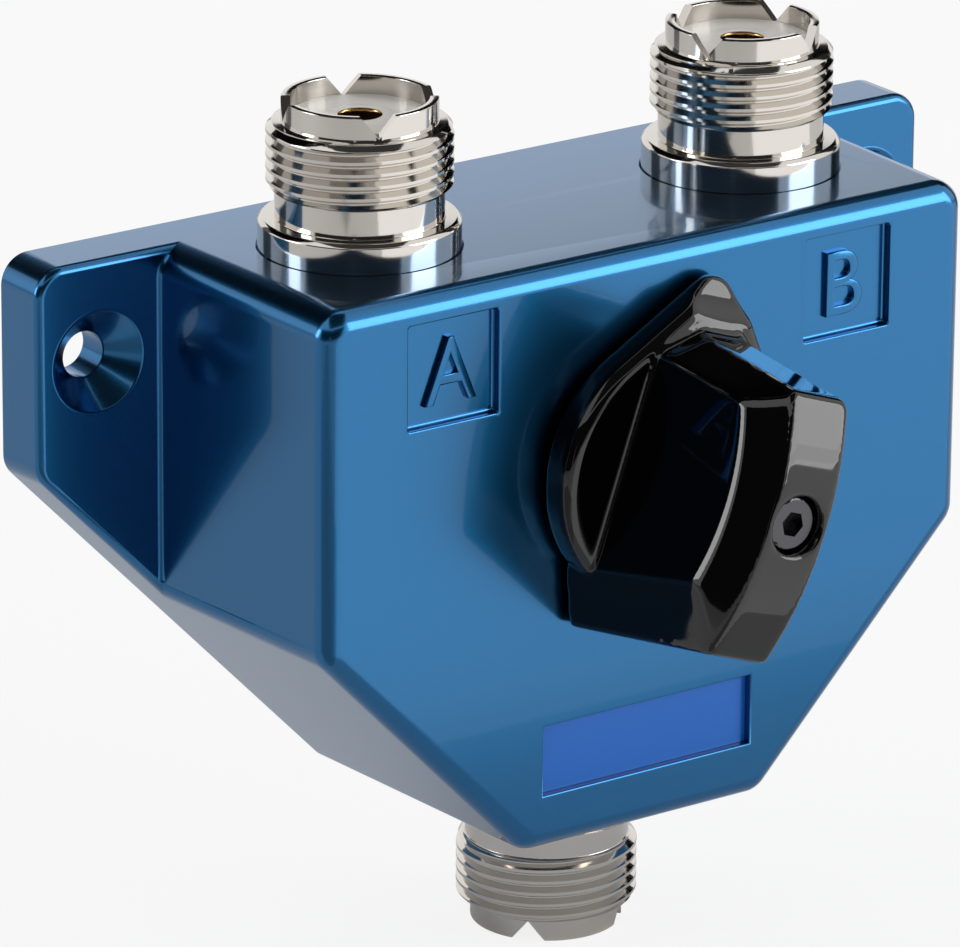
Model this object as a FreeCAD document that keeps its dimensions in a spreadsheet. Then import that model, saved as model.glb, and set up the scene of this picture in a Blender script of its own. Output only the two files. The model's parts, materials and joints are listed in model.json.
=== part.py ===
import FreeCAD, Part
import math
import os
import Sketcher

# Coaxial antenna switch: a die-cast box with two ears, two UHF sockets on top, one below,
# and a bar knob on the front that swings a blade between the two upper sockets.
#
# Frame: +X to the right seen from the front, +Z up, the front faces -Y. The origin is the
# middle of the two ear holes, on the back plane of the ears.
# Pieces on the switch shaft are drawn in a frame of their own: x right, y up, z out of the
# front face, with zero on the front face. Sockets are drawn standing on their own z axis,
# with zero on the face of the housing.

document = FreeCAD.newDocument("antenna_switch")
sheet = document.addObject("Spreadsheet::Sheet", "Sizes")

DRIVING_SIZES = (
    # die-cast housing, millimetres and degrees
    ("body_width", 67.2),
    ("body_height", 52.3),
    ("body_depth", 28.9),
    ("shoulder_drop", 30.6),
    ("foot_width", 25.0),
    ("side_draft", 2.06),
    ("corner_round", 2.6),
    ("front_round", 1.8),
    ("front_wall", 3.2),
    ("side_wall", 3.0),
    ("port_wall", 4.0),
    ("cavity_round", 1.5),
    # ears and their countersunk holes
    ("ear_reach", 13.15),
    ("ear_thickness", 5.6),
    ("ear_edge_round", 0.7),
    ("hole_margin", 6.05),
    ("hole_drop", 8.9),
    ("hole_width", 4.2),
    ("sink_width", 9.0),
    # back cover and its screws
    ("cover_thickness", 2.0),
    ("cover_recess", 0.3),
    ("cover_gap", 0.15),
    ("rim_wall", 1.6),
    ("cover_screw_width", 3.0),
    ("cover_screw_head", 5.5),
    ("cover_screw_length", 8.0),
    ("sink_gap", 0.15),
    ("head_land", 0.1),
    ("cover_boss_width", 6.4),
    ("top_boss_drop", 11.0),
    ("side_boss_rise", 3.0),
    ("low_boss_rise", 9.0),
    ("screw_clearance", 0.3),
    ("driver_slot", 0.6),
    # letter squares and label plate on the front
    ("letter_square", 9.3),
    ("letter_spacing", 41.4),
    ("letter_drop", 7.0),
    ("letter_recess", 0.85),
    ("recess_corner", 0.4),
    ("recess_foot", 0.25),
    ("recess_rim", 0.15),
    ("plate_width", 22.1),
    ("plate_height", 6.3),
    ("plate_drop", 44.05),
    ("plate_thickness", 0.4),
    ("plate_recess", 1.15),
    # sockets
    ("port_spacing", 40.2),
    ("port_depth", 14.3),
    ("thread_width", 15.875),
    ("thread_length", 5.8),
    ("thread_chamfer", 0.5),
    ("flange_width", 17.3),
    ("flange_height", 2.7),
    ("flange_seat", 1.0),
    ("flange_gap", 0.15),
    ("flange_chamfer", 0.4),
    ("neck_width", 14.4),
    ("neck_height", 2.5),
    ("rim_width", 13.3),
    ("rim_height", 2.1),
    ("mouth_width", 11.7),
    ("face_sink", 1.6),
    ("notch_width", 3.0),
    ("notch_depth", 1.8),
    ("stem_width", 13.8),
    ("stem_bore", 9.2),
    ("stem_rest", 0.6),
    ("port_a_turn", -21.0),
    ("port_b_turn", 24.5),
    ("common_turn", -40.5),
    ("nut_wall", 1.6),
    ("nut_height", 2.5),
    ("nut_slot", 2.0),
    ("socket_width", 5.2),
    ("socket_bore", 4.0),
    ("socket_depth", 10.5),
    ("tail_width", 3.2),
    ("tongue_width", 3.0),
    ("tongue_length", 5.6),
    # contact strips
    ("strip_thickness", 0.4),
    ("contact_gap", 0.05),
    ("fork_height", 5.0),
    ("fork_lift", 3.5),
    ("fork_seat", 0.4),
    ("step_before", 2.5),
    ("step_after", 3.0),
    ("leaf_trim", 2.0),
    ("fork_mouth", 2.6),
    ("mouth_flare", 1.2),
    ("mouth_open", 0.6),
    ("rivet_width", 1.2),
    ("rivet_head", 2.2),
    ("rivet_head_height", 0.4),
    # switch shaft, bush and detent
    ("axis_drop", 19.0),
    ("throw_angle", 39.0),
    ("shaft_width", 6.0),
    ("shaft_flats", 4.4),
    ("knob_flats", 5.0),
    ("flats_length", 8.0),
    ("running_gap", 0.03),
    ("fit_gap", 0.02),
    ("end_play", 0.05),
    ("boss_width", 22.0),
    ("boss_height", 2.5),
    ("bush_width", 9.0),
    ("bush_nose", 1.0),
    ("bush_flange_width", 11.6),
    ("bush_flange", 0.8),
    ("washer_width", 10.0),
    ("washer_thickness", 0.5),
    ("ring_width", 10.0),
    ("ring_thickness", 0.7),
    ("ring_groove", 4.6),
    ("ring_mouth", 4.2),
    ("detent_plate_width", 21.0),
    ("detent_plate_thickness", 1.5),
    ("detent_radius", 7.5),
    ("detent_hole", 2.2),
    ("track_depth", 0.5),
    ("ball_width", 3.0),
    ("pocket_gap", 0.05),
    ("pocket_floor", 1.2),
    ("spring_wire", 0.4),
    ("spring_turns", 3.0),
    ("stop_radius", 8.2),
    ("stop_pin_width", 2.0),
    ("stop_pin_grip", 4.0),
    ("stop_play", 0.02),
    # rotor
    ("wiper_thickness", 0.5),
    ("wiper_ring", 12.0),
    ("wiper_rest", 30.5),
    ("wiper_reach", 12.5),
    ("wiper_width", 3.0),
    ("hub_width", 14.0),
    ("hub_web", 1.5),
    ("hub_pin_width", 1.5),
    ("hub_pin_back", 3.5),
    ("blade_thickness", 0.8),
    ("blade_disc", 13.2),
    ("blade_arm", 4.4),
    ("blade_reach", 13.4),
    ("fan_reach", 16.0),
    ("fan_overlap", 4.6),
    ("fan_margin", 12.0),
    ("clamp_thickness", 2.0),
    ("blade_screw_width", 2.0),
    ("blade_screw_head", 3.6),
    ("blade_screw_head_height", 1.0),
    ("blade_screw_length", 4.5),
    ("blade_screw_spacing", 9.0),
    # knob
    ("knob_gap", 0.6),
    ("skirt_width", 23.6),
    ("skirt_height", 3.9),
    ("skirt_round", 1.1),
    ("tip_width", 4.4),
    ("tip_reach", 16.8),
    ("nose_crease", 13.1),
    ("crease_rise", 0.35),
    ("nose_sweep", 1.3),
    ("nose_bend", 14.9),
    ("nose_height", 1.6),
    ("nose_slope", 22.0),
    ("nose_hollow", 3.0),
    ("knob_height", 20.5),
    ("crown_radius", 30.0),
    ("crown_spare", 1.0),
    ("face_width", 6.2),
    ("bevel_height", 16.6),
    ("bevel_width", 9.8),
    ("grip_round", 2.8),
    ("bar_width", 12.9),
    ("bar_head", 8.7),
    ("flank_up", 10.0),
    ("flank_down", 10.4),
    ("nose_width", 4.8),
    ("nose_spread", 0.4),
    ("nose_foot", 12.5),
    ("nose_head", 10.6),
    ("nose_lean", 1.85),
    ("nose_round", 0.8),
    ("nose_top_round", 0.6),
    ("tail_reach", 15.2),
    ("tail_foot", 8.6),
    ("tail_head", 5.9),
    ("tail_rise", 3.4),
    ("tail_lean", 4.7),
    ("tail_round", 2.5),
    ("tail_edge_round", 0.5),
    ("knob_recess_width", 15.0),
    ("knob_recess", 2.2),
    ("bore_depth", 15.0),
    ("knob_web", 2.1),
    ("knob_screw_width", 2.5),
    ("knob_screw_head", 4.5),
    ("knob_screw_head_height", 2.5),
    ("knob_screw_length", 8.0),
    ("knob_screw_hex", 2.0),
    ("counterbore_width", 5.1),
)
for row, (alias, number) in enumerate(DRIVING_SIZES, start=1):
    sheet.set(f"A{row}", alias)
    sheet.set(f"B{row}", str(number))
    sheet.setAlias(f"B{row}", alias)
document.recompute()


def size(alias):
    """The number in a cell of the sheet."""
    return float(sheet.get(alias))


# ---------------------------------------------------------------- formulas on the sheet

HALF_BODY = "(Sizes.body_width / 2)"
HALF_FOOT = "(Sizes.foot_width / 2)"
HALF_EARS = f"({HALF_BODY} + Sizes.ear_reach)"
HOLE_X = f"({HALF_EARS} - Sizes.hole_margin)"
TOP = "(Sizes.hole_drop)"
SHOULDER = f"({TOP} - Sizes.shoulder_drop)"
BOTTOM = f"({TOP} - Sizes.body_height)"
SLOPE_RUN = f"({HALF_BODY} - {HALF_FOOT})"
SLOPE_DROP = "(Sizes.body_height - Sizes.shoulder_drop)"
SLOPE_LENGTH = f"sqrt({SLOPE_RUN}^2 + {SLOPE_DROP}^2)"

AXIS = f"({TOP} - Sizes.axis_drop)"
PORT_X = "(Sizes.port_spacing / 2)"
HALF_NUT = "(Sizes.stem_width / 2 + Sizes.nut_wall)"
STEM_END = "(Sizes.port_wall + Sizes.nut_height + Sizes.stem_rest)"
TAIL_START = f"({STEM_END} + Sizes.stem_rest)"
FACE_HEIGHT = ("(Sizes.flange_height + Sizes.neck_height + Sizes.thread_length"
               " + Sizes.rim_height - Sizes.face_sink)")
RIM_TOP = f"({FACE_HEIGHT} + Sizes.face_sink)"

BLADE_MIDDLE = "(Sizes.body_depth - Sizes.port_depth)"
BLADE_FRONT = f"({BLADE_MIDDLE} - Sizes.blade_thickness / 2)"
BLADE_BACK = f"({BLADE_MIDDLE} + Sizes.blade_thickness / 2)"
GRIP = "(Sizes.blade_thickness / 2 + Sizes.contact_gap)"
BOSS_FACE = "(Sizes.front_wall + Sizes.boss_height)"
WASHER_BACK = f"({BOSS_FACE} + Sizes.bush_flange + Sizes.washer_thickness)"
PLATE_FRONT = f"({WASHER_BACK} + Sizes.end_play)"
PLATE_BACK = f"({PLATE_FRONT} + Sizes.detent_plate_thickness)"
WIPER_BACK = f"({PLATE_BACK} + Sizes.wiper_thickness)"
SHAFT_BACK = f"({BLADE_FRONT} - Sizes.hub_web)"
RING_BACK = "(Sizes.bush_nose + Sizes.end_play)"
FLATS_START = "(Sizes.bore_depth - Sizes.flats_length)"
BALL_CENTRE = f"({PLATE_FRONT} + Sizes.track_depth - Sizes.pocket_gap - Sizes.ball_width / 2)"


def minus(formula):
    return f"-({formula})"


def mirrored(right_side):
    """A full outline from its right half, listed from top to bottom."""
    return right_side + [(minus(across), up) for across, up in reversed(right_side)]


def centred(half_width, half_height, across="0", up="0"):
    """The four corners of a rectangle about a point."""
    left, right = f"{across} - ({half_width})", f"{across} + ({half_width})"
    low, high = f"{up} - ({half_height})", f"{up} + ({half_height})"
    return [(right, high), (right, low), (left, low), (left, high)]


# ---------------------------------------------------------------- document helpers

parts = []


def keep(piece, label):
    """Name a finished piece and put it on the list of files."""
    piece.Label = label
    parts.append(piece)
    return piece


def new_body(name):
    return document.addObject("PartDesign::Body", name)


def new_sketch(body, name, role, lift="0"):
    """A sketch on one of the body's own origin planes, lifted along the plane's normal."""
    sketch = body.newObject("Sketcher::SketchObject", name)
    plane = next(entry for entry in body.Origin.OriginFeatures if entry.Role == role)
    sketch.AttachmentSupport = [(plane, "")]
    sketch.MapMode = "FlatFace"
    sketch.setExpression("AttachmentOffset.Base.z", lift)
    return sketch


def bind(sketch, kind, geometry, point, start, formula):
    """One dimension of a sketch, driven by a formula on the sheet."""
    if point is None:
        number = sketch.addConstraint(Sketcher.Constraint(kind, geometry, start))
    else:
        number = sketch.addConstraint(Sketcher.Constraint(kind, geometry, point, start))
    sketch.setExpression(f"Constraints[{number}]", formula)


def outline(sketch, corners):
    """A closed straight-sided outline through corners given as pairs of formulas."""
    count = len(corners)
    first = sketch.GeometryCount
    points = []
    for index in range(count):
        turn = 2 * math.pi * index / count
        points.append(FreeCAD.Vector(10 * math.cos(turn), 10 * math.sin(turn), 0))
    for index in range(count):
        sketch.addGeometry(Part.LineSegment(points[index], points[(index + 1) % count]), False)
    for index in range(count):
        following = first + (index + 1) % count
        sketch.addConstraint(Sketcher.Constraint("Coincident", first + index, 2, following, 1))
    for index, (across, up) in enumerate(corners):
        bind(sketch, "DistanceX", first + index, 1, points[index].x, across)
        bind(sketch, "DistanceY", first + index, 1, points[index].y, up)


def circle(sketch, width, across="0", up="0"):
    """A circle of a given diameter about a point."""
    centre = FreeCAD.Vector(1, 1, 0)
    number = sketch.addGeometry(Part.Circle(centre, FreeCAD.Vector(0, 0, 1), 2), False)
    bind(sketch, "DistanceX", number, 3, centre.x, across)
    bind(sketch, "DistanceY", number, 3, centre.y, up)
    bind(sketch, "Radius", number, None, 2, f"({width}) / 2")


def double_flat(sketch, width, flats):
    """A round section with two flats, left and right."""
    radius, half = 3.0, 2.2
    rise = math.sqrt(radius ** 2 - half ** 2)
    middle = FreeCAD.Vector(0, 0, 0)
    turn = math.atan2(rise, half)
    ring = Part.Circle(middle, FreeCAD.Vector(0, 0, 1), radius)
    upper = sketch.addGeometry(Part.ArcOfCircle(ring, turn, math.pi - turn), False)
    lower = sketch.addGeometry(Part.ArcOfCircle(ring, math.pi + turn, 2 * math.pi - turn), False)
    high_left, low_left = FreeCAD.Vector(-half, rise, 0), FreeCAD.Vector(-half, -rise, 0)
    low_right, high_right = FreeCAD.Vector(half, -rise, 0), FreeCAD.Vector(half, rise, 0)
    left = sketch.addGeometry(Part.LineSegment(high_left, low_left), False)
    right = sketch.addGeometry(Part.LineSegment(low_right, high_right), False)
    for one, its_end, other, its_start in ((upper, 2, left, 1), (left, 2, lower, 1),
                                           (lower, 2, right, 1), (right, 2, upper, 1)):
        sketch.addConstraint(Sketcher.Constraint("Coincident", one, its_end, other, its_start))
    for arc in (upper, lower):
        sketch.addConstraint(Sketcher.Constraint("Coincident", arc, 3, -1, 1))
        bind(sketch, "Radius", arc, None, radius, f"({width}) / 2")
    sketch.addConstraint(Sketcher.Constraint("Vertical", left))
    sketch.addConstraint(Sketcher.Constraint("Vertical", right))
    bind(sketch, "DistanceX", left, 1, -half, f"-({flats}) / 2")
    bind(sketch, "DistanceX", right, 1, half, f"({flats}) / 2")


def volume_of(body):
    return body.Shape.Volume if body.Shape.Solids else 0.0


def must_change(body, before, grows, name):
    """Stop when a feature added or removed nothing."""
    change = volume_of(body) - before
    if (grows and change <= 0) or (not grows and change >= 0):
        raise RuntimeError(f"{body.Name}: {name} changed the volume by {change:.3f}")


def pad(body, sketch, length, name, reverse=False, midplane=False):
    before = volume_of(body)
    feature = body.newObject("PartDesign::Pad", name)
    feature.Profile = sketch
    feature.setExpression("Length", length)
    feature.Reversed = reverse
    feature.Midplane = midplane
    document.recompute()
    must_change(body, before, True, name)
    return feature


def pocket(body, sketch, name, length=None, reverse=False, midplane=False):
    """Cut a sketch out of the body, to a depth or right through."""
    before = volume_of(body)
    feature = body.newObject("PartDesign::Pocket", name)
    feature.Profile = sketch
    feature.Reversed = reverse
    feature.Midplane = midplane
    if length is None:
        feature.Type = "ThroughAll"
    else:
        feature.setExpression("Length", length)
    document.recompute()
    must_change(body, before, False, name)
    return feature


def revolve(body, corners, name, role="XZ_Plane", angle=360, midplane=False, cut=False):
    """Turn an outline of (across, up) corners about the body's z axis."""
    sketch = new_sketch(body, f"{name}_profile", role)
    outline(sketch, corners)
    before = volume_of(body)
    kind = "PartDesign::Groove" if cut else "PartDesign::Revolution"
    feature = body.newObject(kind, name)
    feature.Profile = sketch
    feature.ReferenceAxis = (sketch, ["V_Axis"])
    if isinstance(angle, str):
        feature.setExpression("Angle", angle)
    else:
        feature.Angle = angle
    feature.Midplane = midplane
    document.recompute()
    must_change(body, before, not cut, name)
    return feature


def edges_of(feature, test):
    """Names of the edges whose ends pass a test."""
    names = []
    for number, edge in enumerate(feature.Shape.Edges, start=1):
        if len(edge.Vertexes) > 1 and test(edge.Vertexes[0].Point, edge.Vertexes[-1].Point):
            names.append(f"Edge{number}")
    return names


def fillet(body, base, names, radius, name):
    feature = body.newObject("PartDesign::Fillet", name)
    feature.Base = (base, names)
    feature.setExpression("Radius", radius)
    document.recompute()
    return feature


def draft(body, base, front, is_drafted, name):
    """Widen the chosen side faces from the front face backwards."""
    faces = list(enumerate(base.Shape.Faces, start=1))
    neutral = [f"Face{n}" for n, face in faces if abs(face.CenterOfMass.y - front) < 0.001]
    sides = [f"Face{n}" for n, face in faces if is_drafted(abs(face.normalAt(0, 0).x))]
    feature = body.newObject("PartDesign::Draft", name)
    feature.Base = (base, sides)
    feature.NeutralPlane = (base, neutral)
    feature.Reversed = True
    feature.setExpression("Angle", "Sizes.side_draft")
    document.recompute()
    document.recompute()
    return feature


def place(piece, x="0", y="0", z="0", yaw=0.0, pitch=0.0, roll=0.0):
    """Turn a piece about X, then Y, then Z, and move its origin to a point."""
    piece.Placement = FreeCAD.Placement(FreeCAD.Vector(), FreeCAD.Rotation(yaw, pitch, roll))
    piece.setExpression("Placement.Base.x", x)
    piece.setExpression("Placement.Base.y", y)
    piece.setExpression("Placement.Base.z", z)


def on_shaft(piece, turns=True):
    """Stand a piece on the shaft's axis, turned to port B where it belongs to the rotor."""
    rest_turn = size("throw_angle") / 2 if turns else 0.0
    place(piece, y=minus("Sizes.body_depth"), z=AXIS, pitch=rest_turn, roll=90.0)


def group(pieces, label):
    """Several like solids in one named piece."""
    compound = document.addObject("Part::Compound", label)
    compound.Links = pieces
    return keep(compound, label)


# ---------------------------------------------------------------- housing


def widened(distance):
    """How far the draft moves a side wall out at a distance behind the front face."""
    return f"({distance} * tan(Sizes.side_draft))"


def slope_x(up, wall="0"):
    """Half width of the slanted side at a height, with a wall taken off."""
    return (f"({HALF_FOOT} + ({up} - {BOTTOM}) * {SLOPE_RUN} / {SLOPE_DROP}"
            f" - {wall} * {SLOPE_LENGTH} / {SLOPE_DROP})")


def box_corners(wall, end_wall):
    """The box outline seen from the front, moved inwards by its walls."""
    side = f"({HALF_BODY} - {wall})"
    shoulder = f"({SHOULDER} + {wall} * ({SLOPE_LENGTH} - {SLOPE_DROP}) / {SLOPE_RUN})"
    low = f"({BOTTOM} + {end_wall})"
    return mirrored([(side, f"{TOP} - {end_wall}"), (side, shoulder), (slope_x(low, wall), low)])


def along_depth(start, end):
    return abs((end - start).y) > 0.9 * (end - start).Length


BOSS_X = "(Sizes.body_width / 2 - Sizes.side_wall - Sizes.cover_boss_width * 0.35)"
LOW_BOSS = f"({BOTTOM} + Sizes.low_boss_rise)"
COVER_SCREWS = [
    (BOSS_X, f"({TOP} - Sizes.top_boss_drop)"),
    (BOSS_X, f"({SHOULDER} + Sizes.side_boss_rise)"),
    (slope_x(LOW_BOSS, "(Sizes.side_wall + Sizes.cover_boss_width * 0.25)"), LOW_BOSS),
]
COVER_SCREWS += [(minus(across), up) for across, up in COVER_SCREWS]
COVER_FRONT = "(Sizes.cover_recess + Sizes.cover_thickness)"


def make_ear_plate():
    """The back plate whose two ends are the ears."""
    body = new_body("ear_plate")
    depth = "(Sizes.body_depth - Sizes.ear_thickness)"
    foot = f"({HALF_FOOT} + {widened(depth)} * {SLOPE_LENGTH} / {SLOPE_DROP})"
    low = f"({BOTTOM} + ({HALF_EARS} - {foot}) * {SLOPE_DROP} / {SLOPE_RUN})"
    sketch = new_sketch(body, "ear_outline", "XZ_Plane")
    outline(sketch, mirrored([(HALF_EARS, TOP), (HALF_EARS, low), (foot, BOTTOM)]))
    plate = pad(body, sketch, "Sizes.ear_thickness", "ear_pad")
    front = -size("ear_thickness")
    drafted = draft(body, plate, front, lambda lean: 0.5 < lean < 0.99, "ear_draft")
    corners = fillet(body, drafted, edges_of(drafted, along_depth), "Sizes.corner_round", "ear_corners")

    def in_front(start, end):
        return abs(start.y - front) < 0.001 and abs(end.y - front) < 0.001

    fillet(body, corners, edges_of(corners, in_front), "Sizes.ear_edge_round", "ear_edges")
    return body


def make_housing():
    body = new_body("housing")
    sketch = new_sketch(body, "box_outline", "XZ_Plane")
    outline(sketch, box_corners("0", "0"))
    block = pad(body, sketch, "Sizes.body_depth", "box")
    front = -size("body_depth")
    drafted = draft(body, block, front, lambda lean: lean > 0.5, "box_draft")
    corners = fillet(body, drafted, edges_of(drafted, along_depth), "Sizes.corner_round", "box_corners")

    def in_front(start, end):
        return abs(start.y - front) < 0.001 and abs(end.y - front) < 0.001

    fillet(body, corners, edges_of(corners, in_front), "Sizes.front_round", "front_edges")
    fused = body.newObject("PartDesign::Boolean", "with_ears")
    fused.Type = "Fuse"
    fused.setObjects([make_ear_plate()])
    fused.Refine = True
    document.recompute()
    cavity = new_sketch(body, "cavity_outline", "XZ_Plane")
    outline(cavity, box_corners("Sizes.side_wall", "Sizes.port_wall"))
    depth = "Sizes.body_depth - Sizes.front_wall"
    hollow = pocket(body, cavity, "cavity", depth, reverse=True)
    inner = -size("body_depth") + size("front_wall")

    def in_cavity(start, end):
        lowest = min(start.y, end.y)
        return along_depth(start, end) and abs(lowest - inner) < 0.001 and max(start.y, end.y) > -0.001

    fillet(body, hollow, edges_of(hollow, in_cavity), "Sizes.cavity_round", "cavity_corners")

    bosses = new_sketch(body, "boss_circles", "XZ_Plane", COVER_FRONT)
    for across, up in COVER_SCREWS:
        circle(bosses, "Sizes.cover_boss_width", across, up)
    pad(body, bosses, f"Sizes.body_depth - {COVER_FRONT} - Sizes.front_wall / 2", "cover_bosses")
    shaft_boss = new_sketch(body, "shaft_boss_circle", "XZ_Plane", f"Sizes.body_depth - {BOSS_FACE}")
    circle(shaft_boss, "Sizes.boss_width", "0", AXIS)
    pad(body, shaft_boss, f"{BOSS_FACE} - Sizes.front_wall / 2", "shaft_boss")

    ledge = new_sketch(body, "cover_seat_outline", "XZ_Plane")
    outline(ledge, box_corners("Sizes.rim_wall", "Sizes.rim_wall"))
    pocket(body, ledge, "cover_seat", COVER_FRONT, reverse=True)
    threads = new_sketch(body, "cover_screw_holes", "XZ_Plane", COVER_FRONT)
    for across, up in COVER_SCREWS:
        circle(threads, "Sizes.cover_screw_width + 2 * Sizes.fit_gap", across, up)
    pocket(body, threads, "cover_threads", "Sizes.cover_screw_length", reverse=True)

    for name, height, down in (("top", TOP, False), ("foot", BOTTOM, True)):
        ports = [PORT_X, minus(PORT_X)] if name == "top" else ["0"]
        seats = new_sketch(body, f"{name}_seat_circles", "XY_Plane", height)
        for across in ports:
            circle(seats, "Sizes.flange_width + 2 * Sizes.flange_gap", across, minus("Sizes.port_depth"))
        pocket(body, seats, f"{name}_seats", "Sizes.flange_seat", reverse=down)
        bores = new_sketch(body, f"{name}_bore_circles", "XY_Plane", height)
        for across in ports:
            circle(bores, "Sizes.stem_width + 2 * Sizes.fit_gap", across, minus("Sizes.port_depth"))
        pocket(body, bores, f"{name}_bores", "Sizes.port_wall + 1", reverse=down)

    switch_holes = (
        ("bush_hole", "Sizes.bush_width + 2 * Sizes.fit_gap", AXIS, BOSS_FACE),
        ("ball_pocket", "Sizes.ball_width + 2 * Sizes.pocket_gap", f"{AXIS} - Sizes.detent_radius",
         f"{BOSS_FACE} - Sizes.pocket_floor"),
        ("stop_pin_hole", "Sizes.stop_pin_width + 2 * Sizes.fit_gap", f"{AXIS} + Sizes.stop_radius",
         "Sizes.stop_pin_grip"),
    )
    for name, width, height, depth in switch_holes:
        hole = new_sketch(body, f"{name}_circle", "XZ_Plane", f"Sizes.body_depth - {BOSS_FACE}")
        circle(hole, width, "0", height)
        pocket(body, hole, name, depth, reverse=True)

    squares = new_sketch(body, "letter_outlines", "XZ_Plane", "Sizes.body_depth")
    for across in ("Sizes.letter_spacing / 2", "-Sizes.letter_spacing / 2"):
        half = "Sizes.letter_square / 2"
        outline(squares, centred(half, half, across, f"{TOP} - Sizes.letter_drop"))
    pocket(body, squares, "letter_squares", "Sizes.letter_recess")
    label = new_sketch(body, "label_outline", "XZ_Plane", "Sizes.body_depth")
    half_width = "Sizes.plate_width / 2 + Sizes.fit_gap"
    half_height = "Sizes.plate_height / 2 + Sizes.fit_gap"
    outline(label, centred(half_width, half_height, "0", f"{TOP} - Sizes.plate_drop"))
    seat = pocket(body, label, "label_seat", "Sizes.plate_recess")

    def inside(across, up, half_width, half_height, depths):
        """A test for edges of one recess whose ends lie at the given depths under the front."""
        def test(start, end):
            within = all(abs(point.x - across) < half_width + 0.05 and abs(point.z - up) < half_height + 0.05
                         for point in (start, end))
            found = sorted((start.y - front, end.y - front))
            return within and abs(found[0] - depths[0]) < 0.001 and abs(found[1] - depths[1]) < 0.001
        return test

    half, deep = size("letter_square") / 2, size("letter_recess")
    letters_up = size("hole_drop") - size("letter_drop")
    for side, across in (("left", -size("letter_spacing") / 2), ("right", size("letter_spacing") / 2)):
        for name, depths, radius in (("corners", (0, deep), "Sizes.recess_corner"),
                                     ("foot", (deep, deep), "Sizes.recess_foot"),
                                     ("rim", (0, 0), "Sizes.recess_rim")):
            names = edges_of(seat, inside(across, letters_up, half, half, depths))
            seat = fillet(body, seat, names, radius, f"{side}_recess_{name}")
    plate_up = size("hole_drop") - size("plate_drop")
    rim = inside(0, plate_up, size("plate_width") / 2, size("plate_height") / 2, (0, 0))
    fillet(body, seat, edges_of(seat, rim), "Sizes.recess_rim", "label_seat_rim")

    before = volume_of(body)
    ear_circles = new_sketch(body, "ear_hole_circles", "XZ_Plane", "Sizes.ear_thickness")
    circle(ear_circles, "Sizes.hole_width", HOLE_X)
    circle(ear_circles, "Sizes.hole_width", minus(HOLE_X))
    document.recompute()
    holes = body.newObject("PartDesign::Hole", "ear_holes")
    holes.Profile = ear_circles
    document.recompute()
    holes.Threaded = False
    holes.setExpression("Diameter", "Sizes.hole_width")
    holes.DepthType = "ThroughAll"
    holes.HoleCutType = "Countersink"
    holes.setExpression("HoleCutDiameter", "Sizes.sink_width")
    holes.HoleCutCountersinkAngle = 90
    document.recompute()
    must_change(body, before, False, "ear_holes")
    return keep(body, "housing")


def make_label_plate():
    body = new_body("label_plate")
    sketch = new_sketch(body, "plate_outline", "XZ_Plane")
    outline(sketch, centred("Sizes.plate_width / 2", "Sizes.plate_height / 2"))
    pad(body, sketch, "Sizes.plate_thickness", "plate")
    place(body, y="Sizes.plate_recess - Sizes.body_depth", z=f"{TOP} - Sizes.plate_drop")
    return keep(body, "label_plate")


def make_back_cover():
    body = new_body("back_cover")
    sketch = new_sketch(body, "cover_outline", "XZ_Plane", "Sizes.cover_recess")
    edge = "(Sizes.rim_wall + Sizes.cover_gap)"
    outline(sketch, box_corners(edge, edge))
    pad(body, sketch, "Sizes.cover_thickness", "cover")
    before = volume_of(body)
    marks = new_sketch(body, "screw_circles", "XZ_Plane", "Sizes.cover_recess")
    for across, up in COVER_SCREWS:
        circle(marks, "Sizes.cover_screw_width + Sizes.screw_clearance", across, up)
    document.recompute()
    holes = body.newObject("PartDesign::Hole", "screw_holes")
    holes.Profile = marks
    document.recompute()
    holes.Threaded = False
    holes.Reversed = True
    holes.setExpression("Diameter", "Sizes.cover_screw_width + Sizes.screw_clearance")
    holes.DepthType = "ThroughAll"
    holes.HoleCutType = "Countersink"
    holes.setExpression("HoleCutDiameter", "Sizes.cover_screw_head + 2 * Sizes.sink_gap")
    holes.HoleCutCountersinkAngle = 90
    document.recompute()
    must_change(body, before, False, "screw_holes")
    return keep(body, "back_cover")


def make_cover_screws():
    """Countersunk screws with their heads flush in the cover."""
    screws = []
    shank = "Sizes.cover_screw_width / 2"
    head = "Sizes.cover_screw_head / 2"
    for number, (across, up) in enumerate(COVER_SCREWS, start=1):
        body = new_body(f"cover_screw_{number}")
        revolve(body, [("0", "0"), (head, "0"), (head, "-Sizes.head_land"),
                       (shank, f"-Sizes.head_land - ({head} - {shank})"),
                       (shank, "0.6 - Sizes.cover_screw_length"),
                       (f"{shank} - 0.5", "0.1 - Sizes.cover_screw_length"),
                       ("0", "0.1 - Sizes.cover_screw_length")], f"turned_screw_{number}")
        slot = new_sketch(body, f"slot_{number}", "XY_Plane")
        outline(slot, centred("Sizes.driver_slot / 2", "Sizes.cover_screw_head"))
        pocket(body, slot, f"driver_slot_{number}", "0.8")
        place(body, x=across, y=minus("Sizes.cover_recess"), z=up, roll=-90.0)
        screws.append(body)
    return group(screws, "cover_screws")


# ---------------------------------------------------------------- sockets


PORTS = (
    ("port_a", minus(PORT_X), TOP, "port_a_turn", 0.0),
    ("port_b", PORT_X, TOP, "port_b_turn", 0.0),
    ("common", "0", BOTTOM, "common_turn", 180.0),
)


def at_port(piece, across, height, roll, turn=0.0):
    """Stand a piece on a socket's axis, upright on top or hanging below."""
    yaw = turn if roll == 0.0 else -turn
    place(piece, x=across, y=minus("Sizes.port_depth"), z=height, yaw=yaw, roll=roll)


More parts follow.
